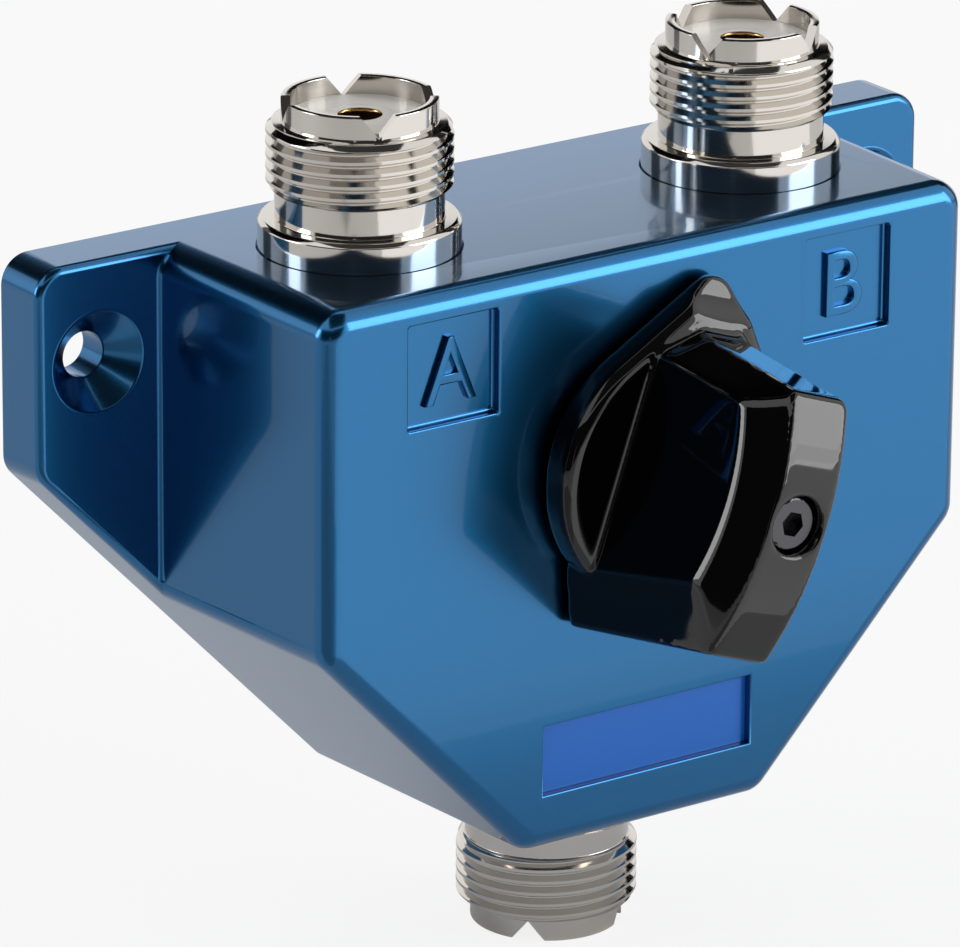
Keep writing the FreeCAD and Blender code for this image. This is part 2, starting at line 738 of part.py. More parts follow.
def make_shell(name, across, height, turn, roll):
    """Threaded outer body of a socket, with a notched rim."""
    body = new_body(f"{name}_shell")
    flange, neck = "Sizes.flange_width / 2", "Sizes.neck_width / 2"
    thread, rim = "Sizes.thread_width / 2", "Sizes.rim_width / 2"
    mouth, stem = "Sizes.mouth_width / 2", "Sizes.stem_width / 2"
    bore = "Sizes.stem_bore / 2"
    cut = "Sizes.thread_chamfer"
    neck_top = "(Sizes.flange_height + Sizes.neck_height)"
    thread_top = f"({neck_top} + Sizes.thread_length)"
    ease = "Sizes.flange_chamfer"
    revolve(body, [
        (bore, minus(STEM_END)), (stem, minus(STEM_END)), (stem, minus("Sizes.flange_seat")),
        (flange, minus("Sizes.flange_seat")), (flange, f"Sizes.flange_height - {ease}"),
        (f"{flange} - {ease}", "Sizes.flange_height"), (neck, "Sizes.flange_height"), (neck, neck_top),
        (f"{thread} - {cut}", neck_top), (thread, f"{neck_top} + {cut}"), (thread, f"{thread_top} - {cut}"),
        (f"{thread} - {cut}", thread_top), (rim, thread_top), (rim, RIM_TOP), (mouth, RIM_TOP),
        (mouth, "Sizes.flange_seat"), (bore, "Sizes.flange_seat"),
    ], "turned_shell")
    notch = new_sketch(body, "notch_outline", "XZ_Plane")
    outline(notch, [("-Sizes.notch_width / 2", RIM_TOP), ("0", f"{RIM_TOP} - Sizes.notch_depth"),
                    ("Sizes.notch_width / 2", RIM_TOP), ("Sizes.notch_width / 2", f"{RIM_TOP} + 1"),
                    ("-Sizes.notch_width / 2", f"{RIM_TOP} + 1")])
    cut_notch = pocket(body, notch, "notch")
    pattern = body.newObject("PartDesign::PolarPattern", "notches")
    pattern.Originals = [cut_notch]
    pattern.Axis = (notch, ["V_Axis"])
    pattern.Angle = 360
    pattern.Occurrences = 4
    before = volume_of(body)
    body.Tip = pattern
    document.recompute()
    must_change(body, before, False, "notches")
    at_port(body, across, height, roll, size(turn))
    return keep(body, f"{name}_shell")


def make_insulator(name, across, height, roll):
    """Stepped dielectric between shell and centre contact."""
    body = new_body(f"{name}_insulator")
    gap = "Sizes.fit_gap"
    wide, narrow = f"Sizes.mouth_width / 2 - {gap}", f"Sizes.stem_bore / 2 - {gap}"
    socket, tail = f"Sizes.socket_width / 2 + {gap}", f"Sizes.tail_width / 2 + {gap}"
    socket_foot = f"({FACE_HEIGHT} - Sizes.socket_depth - 1)"
    revolve(body, [
        (tail, minus(TAIL_START)), (narrow, minus(TAIL_START)), (narrow, "Sizes.flange_seat"),
        (wide, "Sizes.flange_seat"), (wide, FACE_HEIGHT), (socket, FACE_HEIGHT),
        (socket, socket_foot), (tail, socket_foot),
    ], "turned_insulator")
    at_port(body, across, height, roll)
    return keep(body, f"{name}_insulator")


def make_contact(name, across, height, roll):
    """Centre socket, its rod and the flat tongue that the fork is riveted to."""
    body = new_body(f"{name}_contact")
    outer, bore, rod = "Sizes.socket_width / 2", "Sizes.socket_bore / 2", "Sizes.tail_width / 2"
    top = f"({FACE_HEIGHT} - 0.1)"
    bore_foot = f"({FACE_HEIGHT} - Sizes.socket_depth)"
    foot = f"({bore_foot} - 1)"
    revolve(body, [
        ("0", minus(TAIL_START)), (rod, minus(TAIL_START)), (rod, foot), (outer, foot),
        (outer, f"{top} - 0.2"), (f"{outer} - 0.2", top), (f"{bore} + 0.3", top), (bore, f"{top} - 0.3"),
        (bore, bore_foot), ("0", bore_foot),
    ], "turned_contact")
    tongue = new_sketch(body, "tongue_section", "XY_Plane", minus(TAIL_START))
    outline(tongue, centred("Sizes.tongue_width / 2", GRIP))
    pad(body, tongue, "Sizes.tongue_length", "tongue", reverse=True)
    hole = new_sketch(body, "rivet_circle", "XZ_Plane")
    circle(hole, "Sizes.rivet_width + 2 * Sizes.fit_gap", "0", f"-({TAIL_START} + Sizes.tongue_length / 2)")
    pocket(body, hole, "rivet_hole", "4", midplane=True)
    at_port(body, across, height, roll)
    return keep(body, f"{name}_contact")


def make_nuts():
    """Slotted ring nuts that clamp the sockets from inside."""
    nuts = []
    for name, across, height, _, roll in PORTS:
        body = new_body(f"{name}_nut")
        inner, outer = "Sizes.stem_width / 2 + Sizes.fit_gap", HALF_NUT
        low, high = "-Sizes.port_wall - Sizes.nut_height", "-Sizes.port_wall"
        revolve(body, [(inner, low), (f"{outer} - 0.3", low), (outer, f"{low} + 0.3"), (outer, high),
                       (inner, high)], "turned_nut")
        slots = new_sketch(body, "spanner_slots", "XY_Plane", low)
        outline(slots, centred("Sizes.nut_slot / 2", f"2 * {HALF_NUT}"))
        pocket(body, slots, "slots", "Sizes.nut_height / 2", reverse=True)
        at_port(body, across, height, roll)
        nuts.append(body)
    return group(nuts, "port_nuts")


# ---------------------------------------------------------------- fixed contact strips


BIGHT = "(Sizes.tongue_width / 2 + 0.1)"


def fork_plan(reach):
    """A folded strip seen from its edge: two legs, closed behind the tongue, flared at the mouth."""
    outer = f"({GRIP} + Sizes.strip_thickness)"
    bend = f"({reach} - Sizes.mouth_flare)"
    wide = f"({GRIP} + Sizes.mouth_open)"
    wider = f"({outer} + Sizes.mouth_open)"
    back = f"({BIGHT} + Sizes.strip_thickness)"
    return [
        (minus(back), outer), (bend, outer), (reach, wider), (reach, wide), (bend, GRIP),
        (minus(BIGHT), GRIP), (minus(BIGHT), minus(GRIP)), (bend, minus(GRIP)), (reach, minus(wide)),
        (reach, minus(wider)), (bend, minus(outer)), (minus(back), minus(outer)),
    ]


def make_side_fork(name, across, facing):
    """Fork of port A or B, stepped up past the nut to the blade's height."""
    body = new_body(f"{name}_fork")
    reach = f"({PORT_X} - Sizes.fork_mouth)"
    # heights are counted from the end of the insulator, which is the local zero
    rise = f"({TAIL_START} - {TOP} + Sizes.fork_lift)"
    seat = "Sizes.fork_seat"
    plan = new_sketch(body, "strip_plan", "XY_Plane", minus(f"{seat} + Sizes.fork_height"))
    outline(plan, fork_plan(reach))
    pad(body, plan, f"{rise} + {seat} + Sizes.fork_height", "strip")
    step_start, step_end = f"({HALF_NUT} - Sizes.step_before)", f"({HALF_NUT} + Sizes.step_after)"
    back = f"({BIGHT} + Sizes.strip_thickness + 1)"
    above = new_sketch(body, "above_leaf", "XZ_Plane")
    outline(above, [(minus(back), minus(seat)), (step_start, minus(seat)), (step_end, rise),
                    (step_end, f"{rise} + 1"), (minus(back), f"{rise} + 1")])
    pocket(body, above, "trim_above", "8", midplane=True)
    below = new_sketch(body, "below_leaf", "XZ_Plane")
    low = f"(-{seat} - Sizes.fork_height)"
    leaf = f"({rise} - Sizes.fork_height)"
    trim = "Sizes.leaf_trim"
    outline(below, [(f"{step_start} + {trim}", low), (f"{step_end} + {trim}", leaf), (f"{reach} + 1", leaf),
                    (f"{reach} + 1", f"{low} - 1"), (f"{step_start} + {trim}", f"{low} - 1")])
    pocket(body, below, "trim_below", "8", midplane=True)
    hole = new_sketch(body, "rivet_circle", "XZ_Plane")
    circle(hole, "Sizes.rivet_width + 2 * Sizes.fit_gap", "0", "-Sizes.tongue_length / 2")
    pocket(body, hole, "rivet_hole", "8", midplane=True)
    place(body, x=across, y=minus("Sizes.port_depth"), z=f"{TOP} - {TAIL_START}", yaw=facing)
    return keep(body, f"{name}_fork")


def make_common_fork():
    """Upright fork on the common socket, which the blade's fan never leaves."""
    body = new_body("common_fork")
    # the local x axis points up, and its zero is the end of the insulator
    reach = f"({AXIS} - Sizes.fan_reach + Sizes.fan_overlap - ({BOTTOM} + {TAIL_START}))"
    plan = new_sketch(body, "strip_plan", "XY_Plane", "-Sizes.fork_height / 2")
    outer = f"({GRIP} + Sizes.strip_thickness)"
    bend = f"({reach} - Sizes.mouth_flare)"
    wide, wider = f"({GRIP} + Sizes.mouth_open)", f"({outer} + Sizes.mouth_open)"
    floor = "Sizes.strip_thickness"
    outline(plan, [
        ("0", outer), (bend, outer), (reach, wider), (reach, wide), (bend, GRIP), (floor, GRIP),
        (floor, minus(GRIP)), (bend, minus(GRIP)), (reach, minus(wide)), (reach, minus(wider)),
        (bend, minus(outer)), ("0", minus(outer)),
    ])
    pad(body, plan, "Sizes.fork_height", "strip")
    slot = new_sketch(body, "tongue_slot", "YZ_Plane")
    outline(slot, centred(GRIP, "Sizes.tongue_width / 2 + 0.05"))
    pocket(body, slot, "tongue_slot_cut", "Sizes.strip_thickness", reverse=True)
    hole = new_sketch(body, "rivet_circle", "XZ_Plane")
    circle(hole, "Sizes.rivet_width + 2 * Sizes.fit_gap", "Sizes.tongue_length / 2", "0")
    pocket(body, hole, "rivet_hole", "8", midplane=True)
    place(body, y=minus("Sizes.port_depth"), z=f"{BOTTOM} + {TAIL_START}", pitch=-90.0)
    return keep(body, "common_fork")


def make_rivets():
    """One rivet through each fork and tongue."""
    rivets = []
    middle = f"({TAIL_START} + Sizes.tongue_length / 2)"
    for name, across, height, _, roll in PORTS:
        body = new_body(f"{name}_rivet")
        leg = f"({GRIP} + Sizes.strip_thickness)"
        shank, head = "Sizes.rivet_width / 2", "Sizes.rivet_head / 2"
        far = f"({leg} + Sizes.rivet_head_height)"
        revolve(body, [("0", minus(far)), (f"{head} - 0.2", minus(far)), (head, minus(leg)),
                       (shank, minus(leg)), (shank, leg), (head, leg), (f"{head} - 0.2", far), ("0", far)],
                "turned_rivet")
        level = f"{height} - {middle}" if roll == 0.0 else f"{height} + {middle}"
        place(body, x=across, y=minus("Sizes.port_depth"), z=level, roll=90.0)
        rivets.append(body)
    return group(rivets, "fork_rivets")


# ---------------------------------------------------------------- shaft, bush and detent


def make_shaft():
    body = new_body("rotor_shaft")
    width = "Sizes.shaft_width"
    main = new_sketch(body, "round_section", "XY_Plane", minus(PLATE_FRONT))
    circle(main, width)
    pad(body, main, f"{PLATE_FRONT} + {FLATS_START}", "round_part")
    front = new_sketch(body, "knob_section", "XY_Plane", FLATS_START)
    double_flat(front, width, "Sizes.knob_flats")
    pad(body, front, f"Sizes.bore_depth - {FLATS_START}", "knob_part")
    rear = new_sketch(body, "rotor_section", "XY_Plane", minus(PLATE_FRONT))
    double_flat(rear, width, "Sizes.shaft_flats")
    pad(body, rear, f"{SHAFT_BACK} - {PLATE_FRONT}", "rotor_part", reverse=True)
    groove_foot, groove_top = RING_BACK, f"({RING_BACK} + Sizes.ring_thickness)"
    play = "Sizes.fit_gap"
    revolve(body, [("Sizes.ring_groove / 2", f"{groove_foot} - {play}"), (width, f"{groove_foot} - {play}"),
                   (width, f"{groove_top} + {play}"), ("Sizes.ring_groove / 2", f"{groove_top} + {play}")],
            "ring_groove", cut=True)
    thread = new_sketch(body, "screw_circle", "XY_Plane", "Sizes.bore_depth")
    circle(thread, "Sizes.knob_screw_width + 2 * Sizes.fit_gap")
    pocket(body, thread, "screw_thread", "Sizes.knob_screw_length - Sizes.knob_web + 0.6")
    pin = new_sketch(body, "pin_circle", "YZ_Plane")
    circle(pin, "Sizes.hub_pin_width + 2 * Sizes.fit_gap", "0", f"-({SHAFT_BACK} - Sizes.hub_pin_back / 2)")
    pocket(body, pin, "pin_hole", "Sizes.shaft_width + 2", midplane=True)
    on_shaft(body)
    return keep(body, "rotor_shaft")


def make_bush():
    """Flanged bearing bush, pressed into the front wall from inside."""
    body = new_body("shaft_bush")
    inner, outer = "(Sizes.shaft_width / 2 + Sizes.running_gap)", "Sizes.bush_width / 2"
    flange = "Sizes.bush_flange_width / 2"
    revolve(body, [
        (inner, f"-{BOSS_FACE} - Sizes.bush_flange"), (flange, f"-{BOSS_FACE} - Sizes.bush_flange"),
        (flange, minus(BOSS_FACE)), (outer, minus(BOSS_FACE)), (outer, "Sizes.bush_nose - 0.3"),
        (f"{outer} - 0.3", "Sizes.bush_nose"), (inner, "Sizes.bush_nose"),
    ], "turned_bush")
    on_shaft(body, turns=False)
    return keep(body, "shaft_bush")


def make_washer():
    body = new_body("thrust_washer")
    inner = "Sizes.shaft_width / 2 + 0.1"
    low, high = minus(WASHER_BACK), f"Sizes.washer_thickness - {WASHER_BACK}"
    revolve(body, [(inner, low), ("Sizes.washer_width / 2", low), ("Sizes.washer_width / 2", high),
                   (inner, high)], "turned_washer")
    on_shaft(body, turns=False)
    return keep(body, "thrust_washer")


def make_retaining_ring():
    """Snap ring that rides in the groove of the shaft, in front of the bush."""
    body = new_body("retaining_ring")
    sketch = new_sketch(body, "ring_circles", "XY_Plane", RING_BACK)
    circle(sketch, "Sizes.ring_width")
    circle(sketch, "Sizes.ring_groove + 2 * Sizes.fit_gap")
    pad(body, sketch, "Sizes.ring_thickness", "ring")
    mouth = new_sketch(body, "ring_mouth_outline", "XY_Plane", RING_BACK)
    half = "Sizes.ring_mouth / 2"
    outline(mouth, [(half, "0"), (half, minus("Sizes.ring_width")),
                    (minus(half), minus("Sizes.ring_width")), (minus(half), "0")])
    pocket(body, mouth, "ring_mouth", "Sizes.ring_thickness + 1", reverse=True)
    on_shaft(body)
    return keep(body, "retaining_ring")


def make_detent_plate():
    """Disc with two detent holes, the ball's track between them, and the stop notch."""
    body = new_body("detent_plate")
    disc = new_sketch(body, "disc_circle", "XY_Plane", minus(PLATE_BACK))
    circle(disc, "Sizes.detent_plate_width")
    pad(body, disc, "Sizes.detent_plate_thickness", "disc")
    bore = new_sketch(body, "bore_section", "XY_Plane", minus(PLATE_FRONT))
    double_flat(bore, "Sizes.shaft_width + 2 * Sizes.fit_gap", "Sizes.shaft_flats + 2 * Sizes.fit_gap")
    pocket(body, bore, "bore")
    half_throw = "(Sizes.throw_angle / 2)"
    offset = "(Sizes.stop_pin_width / 2 + Sizes.stop_play)"
    inner = "(Sizes.stop_radius - Sizes.stop_pin_width)"
    outer = "(Sizes.detent_plate_width / 2 + 3)"

    def on_edge(radius):
        return (f"({radius} * sin({half_throw}) + {offset} * cos({half_throw}))",
                f"({radius} * cos({half_throw}) - {offset} * sin({half_throw}))")

    notch = new_sketch(body, "stop_notch_outline", "XY_Plane", minus(PLATE_FRONT))
    outline(notch, mirrored([on_edge(outer), on_edge(inner)]))
    pocket(body, notch, "stop_notch")
    track = new_sketch(body, "track_circle", "YZ_Plane")
    circle(track, "Sizes.ball_width + 2 * Sizes.pocket_gap", "-Sizes.detent_radius", minus(BALL_CENTRE))
    before = volume_of(body)
    groove = body.newObject("PartDesign::Groove", "track")
    groove.Profile = track
    groove.ReferenceAxis = (track, ["V_Axis"])
    groove.setExpression("Angle", "Sizes.throw_angle")
    groove.Midplane = True
    document.recompute()
    must_change(body, before, False, "track")
    marks = new_sketch(body, "detent_circles", "XY_Plane", minus(PLATE_FRONT))
    for side in ("", "-"):
        circle(marks, "Sizes.detent_hole", f"{side}Sizes.detent_radius * sin({half_throw})",
               f"-Sizes.detent_radius * cos({half_throw})")
    pocket(body, marks, "detent_holes")
    on_shaft(body)
    return keep(body, "detent_plate")


def make_detent_ball():
    ball = document.addObject("Part::Sphere", "detent_ball")
    ball.setExpression("Radius", "Sizes.ball_width / 2")
    ball.setExpression("Placement.Base.y", f"{BALL_CENTRE} - Sizes.body_depth")
    ball.setExpression("Placement.Base.z", f"{AXIS} - Sizes.detent_radius")
    return keep(ball, "detent_ball")


def make_detent_spring():
    """Coil spring between the floor of the pocket and the ball."""
    wire, ball = size("spring_wire") / 2, size("ball_width") / 2
    coil = ball - wire - 0.1
    boss_face = size("front_wall") + size("boss_height")
    plate_front = boss_face + size("bush_flange") + size("washer_thickness") + size("end_play")
    ball_centre = plate_front + size("track_depth") - size("pocket_gap") - ball
    seat = math.sqrt((ball + wire) ** 2 - coil ** 2)
    length = ball_centre - seat - size("pocket_floor") - wire - 0.05
    helix = Part.makeHelix(length / size("spring_turns"), length, coil)
    start = helix.Edges[0].valueAt(helix.Edges[0].FirstParameter)
    along = helix.Edges[0].tangentAt(helix.Edges[0].FirstParameter)
    section = Part.Wire(Part.makeCircle(wire, start, along))
    spring = document.addObject("Part::Feature", "detent_spring")
    spring.Shape = Part.Wire(helix.Edges).makePipeShell([section], True, True)
    floor = size("pocket_floor") + wire + 0.02 - size("body_depth")
    height = size("hole_drop") - size("axis_drop") - size("detent_radius")
    spring.Placement = FreeCAD.Placement(FreeCAD.Vector(0, floor, height), FreeCAD.Rotation(0, 0, -90))
    return keep(spring, "detent_spring")


def make_stop_pin():
    pin = document.addObject("Part::Cylinder", "stop_pin")
    pin.setExpression("Radius", "Sizes.stop_pin_width / 2")
    pin.setExpression("Height", f"Sizes.stop_pin_grip + {PLATE_BACK} - 0.2 - {BOSS_FACE}")
    place(pin, y=f"{PLATE_BACK} - 0.2 - Sizes.body_depth", z=f"{AXIS} + Sizes.stop_radius", roll=90.0)
    return keep(pin, "stop_pin")


# ---------------------------------------------------------------- rotor


def make_ground_wiper():
    """Earthed spring plate: two arms bent back to touch the fork that isn't in use."""
    body = new_body("ground_wiper")
    ring = new_sketch(body, "ring_circle", "XY_Plane", minus(WIPER_BACK))
    circle(ring, "Sizes.wiper_ring")
    pad(body, ring, "Sizes.wiper_thickness", "ring")
    half = "Sizes.wiper_width / 2"
    fork_face = f"({BLADE_MIDDLE} - {GRIP} - Sizes.strip_thickness - Sizes.contact_gap)"
    apart = "(Sizes.wiper_rest + Sizes.throw_angle / 2)"
    about_shaft = FreeCAD.Placement(FreeCAD.Vector(), FreeCAD.Rotation(FreeCAD.Vector(0, 0, 1), 1))
    for side, turn in (("left", apart), ("right", minus(apart))):
        arm = new_sketch(body, f"{side}_arm_outline", "XY_Plane", minus(WIPER_BACK))
        arm.AttachmentOffset = about_shaft
        arm.setExpression("AttachmentOffset.Rotation.Angle", turn)
        outline(arm, [(half, "Sizes.wiper_reach"), (half, "Sizes.wiper_ring / 4"),
                      (minus(half), "Sizes.wiper_ring / 4"), (minus(half), "Sizes.wiper_reach")])
        pad(body, arm, "Sizes.wiper_thickness", f"{side}_arm")
        tab = new_sketch(body, f"{side}_tab_outline", "XY_Plane", minus(WIPER_BACK))
        tab.AttachmentOffset = about_shaft
        tab.setExpression("AttachmentOffset.Rotation.Angle", turn)
        foot = "Sizes.wiper_reach - Sizes.wiper_thickness"
        outline(tab, [(half, "Sizes.wiper_reach"), (half, foot), (minus(half), foot),
                      (minus(half), "Sizes.wiper_reach")])
        pad(body, tab, f"{fork_face} - {WIPER_BACK}", f"{side}_tab", reverse=True)
    bore = new_sketch(body, "bore_section", "XY_Plane", minus(PLATE_BACK))
    double_flat(bore, "Sizes.shaft_width + 2 * Sizes.fit_gap", "Sizes.shaft_flats + 2 * Sizes.fit_gap")
    pocket(body, bore, "bore")
    on_shaft(body)
    return keep(body, "ground_wiper")


def make_hub():
    """Insulating hub, pinned to the shaft, with the blade on its back face."""
    body = new_body("rotor_hub")
    disc = new_sketch(body, "hub_circle", "XY_Plane", minus(BLADE_FRONT))
    circle(disc, "Sizes.hub_width")
    pad(body, disc, f"{BLADE_FRONT} - {WIPER_BACK}", "hub")
    bore = new_sketch(body, "bore_section", "XY_Plane", minus(WIPER_BACK))
    double_flat(bore, "Sizes.shaft_width + 2 * Sizes.fit_gap", "Sizes.shaft_flats + 2 * Sizes.fit_gap")
    pocket(body, bore, "bore", f"{SHAFT_BACK} + Sizes.fit_gap - {WIPER_BACK}")
    pin = new_sketch(body, "pin_circle", "YZ_Plane")
    circle(pin, "Sizes.hub_pin_width + 2 * Sizes.fit_gap", "0", f"-({SHAFT_BACK} - Sizes.hub_pin_back / 2)")
    pocket(body, pin, "pin_hole", "Sizes.hub_width + 2", midplane=True)
    threads = new_sketch(body, "screw_circles", "XY_Plane", minus(BLADE_FRONT))
    for across in ("Sizes.blade_screw_spacing / 2", "-Sizes.blade_screw_spacing / 2"):
        circle(threads, "Sizes.blade_screw_width + 2 * Sizes.fit_gap", across)
    depth = "Sizes.blade_screw_length - Sizes.blade_thickness - Sizes.clamp_thickness + 0.3"
    pocket(body, threads, "screw_threads", depth, reverse=True)
    on_shaft(body)
    return keep(body, "rotor_hub")


def make_hub_pin():
    body = new_body("hub_pin")
    sketch = new_sketch(body, "pin_circle", "YZ_Plane")
    circle(sketch, "Sizes.hub_pin_width", "0", f"-({SHAFT_BACK} - Sizes.hub_pin_back / 2)")
    pad(body, sketch, "Sizes.hub_width - 0.4", "pin", midplane=True)
    on_shaft(body)
    return keep(body, "hub_pin")


def make_blade():
    """Switch blade: an arm to port A or B, a fan that stays in the common fork."""
    body = new_body("rotor_blade")
    disc = new_sketch(body, "disc_circle", "XY_Plane", minus(BLADE_BACK))
    circle(disc, "Sizes.blade_disc")
    pad(body, disc, "Sizes.blade_thickness", "disc")
    arm = new_sketch(body, "arm_outline", "XY_Plane", minus(BLADE_BACK))
    half = "Sizes.blade_arm / 2"
    outline(arm, [(half, "Sizes.blade_reach - 0.6"), (half, "0"), (minus(half), "0"),
                  (minus(half), "Sizes.blade_reach - 0.6"), (f"-{half} + 0.6", "Sizes.blade_reach"),
                  (f"{half} - 0.6", "Sizes.blade_reach")])
    pad(body, arm, "Sizes.blade_thickness", "arm")
    inner = "-Sizes.blade_disc / 4"
    revolve(body, [(inner, minus(BLADE_BACK)), (inner, minus(BLADE_FRONT)),
                   ("-Sizes.fan_reach", minus(BLADE_FRONT)), ("-Sizes.fan_reach", minus(BLADE_BACK))],
            "fan", role="YZ_Plane", angle="Sizes.throw_angle + 2 * Sizes.fan_margin", midplane=True)
    marks = new_sketch(body, "screw_circles", "XY_Plane", minus(BLADE_FRONT))
    for across in ("Sizes.blade_screw_spacing / 2", "-Sizes.blade_screw_spacing / 2"):
        circle(marks, "Sizes.blade_screw_width + Sizes.screw_clearance", across)
    pocket(body, marks, "screw_holes")
    on_shaft(body)
    return keep(body, "rotor_blade")


def make_blade_clamp():
    body = new_body("blade_clamp")
    sketch = new_sketch(body, "clamp_circles", "XY_Plane", minus(BLADE_BACK))
    circle(sketch, "Sizes.blade_disc")
    for across in ("Sizes.blade_screw_spacing / 2", "-Sizes.blade_screw_spacing / 2"):
        circle(sketch, "Sizes.blade_screw_width + Sizes.screw_clearance", across)
    pad(body, sketch, "Sizes.clamp_thickness", "clamp", reverse=True)
    on_shaft(body)
    return keep(body, "blade_clamp")


def make_blade_screws():
    screws = []
    clamp_back = f"({BLADE_BACK} + Sizes.clamp_thickness)"
    for side, sign in (("left", -1), ("right", 1)):
        body = new_body(f"{side}_blade_screw")
        head, shank = "Sizes.blade_screw_head / 2", "Sizes.blade_screw_width / 2"
        back = f"-({clamp_back} + Sizes.blade_screw_head_height)"
        tip = f"(Sizes.blade_screw_length - {clamp_back})"
        under = minus(clamp_back)
        revolve(body, [("0", back), (f"{head} - 0.3", back), (head, f"{back} + 0.3"), (head, under),
                       (shank, under), (shank, f"{tip} - 0.2"), (f"{shank} - 0.2", tip),
                       ("0", tip)], "turned_screw")
        slot = new_sketch(body, "slot_outline", "XY_Plane", back)
        outline(slot, centred("Sizes.driver_slot / 2", "Sizes.blade_screw_head"))
        pocket(body, slot, "slot", "Sizes.blade_screw_head_height / 2", reverse=True)
        half, turn = f"({sign} * Sizes.blade_screw_spacing / 2)", "(Sizes.throw_angle / 2)"
        place(body, x=f"{half} * cos({turn})", y=minus("Sizes.body_depth"),
              z=f"{AXIS} - {half} * sin({turn})", pitch=size("throw_angle") / 2, roll=90.0)
        screws.append(body)
    return group(screws, "blade_screws")


# ---------------------------------------------------------------- knob

# corners of the grip bar seen from the front: across, and up towards the pointer
BAR_FOOT = [("Sizes.nose_width / 2", "Sizes.nose_foot"), ("Sizes.bar_width / 2", "Sizes.flank_up"),
            ("Sizes.bar_width / 2", "-Sizes.flank_down"), ("Sizes.tail_foot / 2", "-Sizes.tail_reach")]
BAR_HEAD = [("Sizes.nose_width / 2 + Sizes.nose_spread", "Sizes.nose_head"),
            ("Sizes.bar_head / 2", "Sizes.flank_up - Sizes.nose_lean"),
            ("Sizes.bar_head / 2", "Sizes.tail_lean - Sizes.flank_down"),
            ("Sizes.tail_head / 2", "Sizes.tail_rise - Sizes.tail_reach")]


def rises_from(half_width, up):
    """A test for the slanted edges that rise from a foot corner of the bar."""
    def test(start, end):
        low, high = sorted((start, end), key=lambda point: point.z)
        return (abs(abs(low.x) - half_width) < 0.01 and abs(low.y - up) < 0.01
                and high.z - low.z > size("skirt_height"))
    return test


def make_bar():
    """Grip bar with planar flanks, a crown turned about a far axis, and rounded corners."""
    body = new_body("knob_bar")
    lower = new_sketch(body, "bar_foot", "XY_Plane", "Sizes.knob_gap")
    outline(lower, mirrored(BAR_FOOT))
    upper = new_sketch(body, "bar_head", "XY_Plane", "Sizes.knob_height + Sizes.crown_spare")
    outline(upper, mirrored(BAR_HEAD))
    bar = body.newObject("PartDesign::AdditiveLoft", "bar")
    bar.Profile = lower
    bar.Sections = [upper]
    bar.Ruled = True
    document.recompute()

    crown = new_sketch(body, "crown_profile", "XZ_Plane")
    axis_level = "(Sizes.knob_height - Sizes.crown_radius)"
    face, bevel = "(Sizes.face_width / 2)", "(Sizes.bevel_width / 2)"
    fall = f"((Sizes.knob_height - Sizes.bevel_height) / ({bevel} - {face}))"
    beyond = "(Sizes.bevel_width / 4)"
    outline(crown, mirrored([
        ("Sizes.bevel_width", "Sizes.knob_height + Sizes.crown_radius / 2"),
        (f"{bevel} + {beyond}", f"Sizes.bevel_height - {beyond} * {fall}"), (face, "Sizes.knob_height")]))
    start, end = FreeCAD.Vector(-5, -9.5, 0), FreeCAD.Vector(5, -9.5, 0)
    line = crown.addGeometry(Part.LineSegment(start, end), True)
    crown.addConstraint(Sketcher.Constraint("Horizontal", line))
    bind(crown, "DistanceX", line, 1, start.x, minus(bevel))
    bind(crown, "DistanceX", line, 2, end.x, bevel)
    bind(crown, "DistanceY", line, 1, start.y, axis_level)
    before = volume_of(body)
    cut = body.newObject("PartDesign::Groove", "crown")
    cut.Profile = crown
    cut.ReferenceAxis = (crown, ["Axis0"])
    cut.Angle = 100
    cut.Midplane = True
    document.recompute()
    must_change(body, before, False, "crown")

    def along_grip(start, end):
        beside_face = min(abs(start.x), abs(end.x)) > (size("face_width") + size("bevel_width")) / 4
        above_skirt = min(start.z, end.z) > size("skirt_height")
        return beside_face and above_skirt and abs(start.y - end.y) > size("flank_up")

    def across_nose(start, end):
        above_skirt = min(start.y, end.y, start.z, end.z) > size("skirt_height")
        return above_skirt and abs(start.x - end.x) > size("nose_width") / 2

    half = size("bar_width") / 2
    rounded = fillet(body, cut, edges_of(cut, along_grip), "Sizes.grip_round", "grip_edges")
    for name, test, radius in (
        ("nose_corners", rises_from(half, size("flank_up")), "Sizes.nose_round"),
        ("tail_corners", rises_from(half, -size("flank_down")), "Sizes.tail_round"),
        ("tail_edges", rises_from(size("tail_foot") / 2, -size("tail_reach")), "Sizes.tail_edge_round"),
        ("nose_top", across_nose, "Sizes.nose_top_round"),
    ):
        rounded = fillet(body, rounded, edges_of(rounded, test), radius, name)
    return body


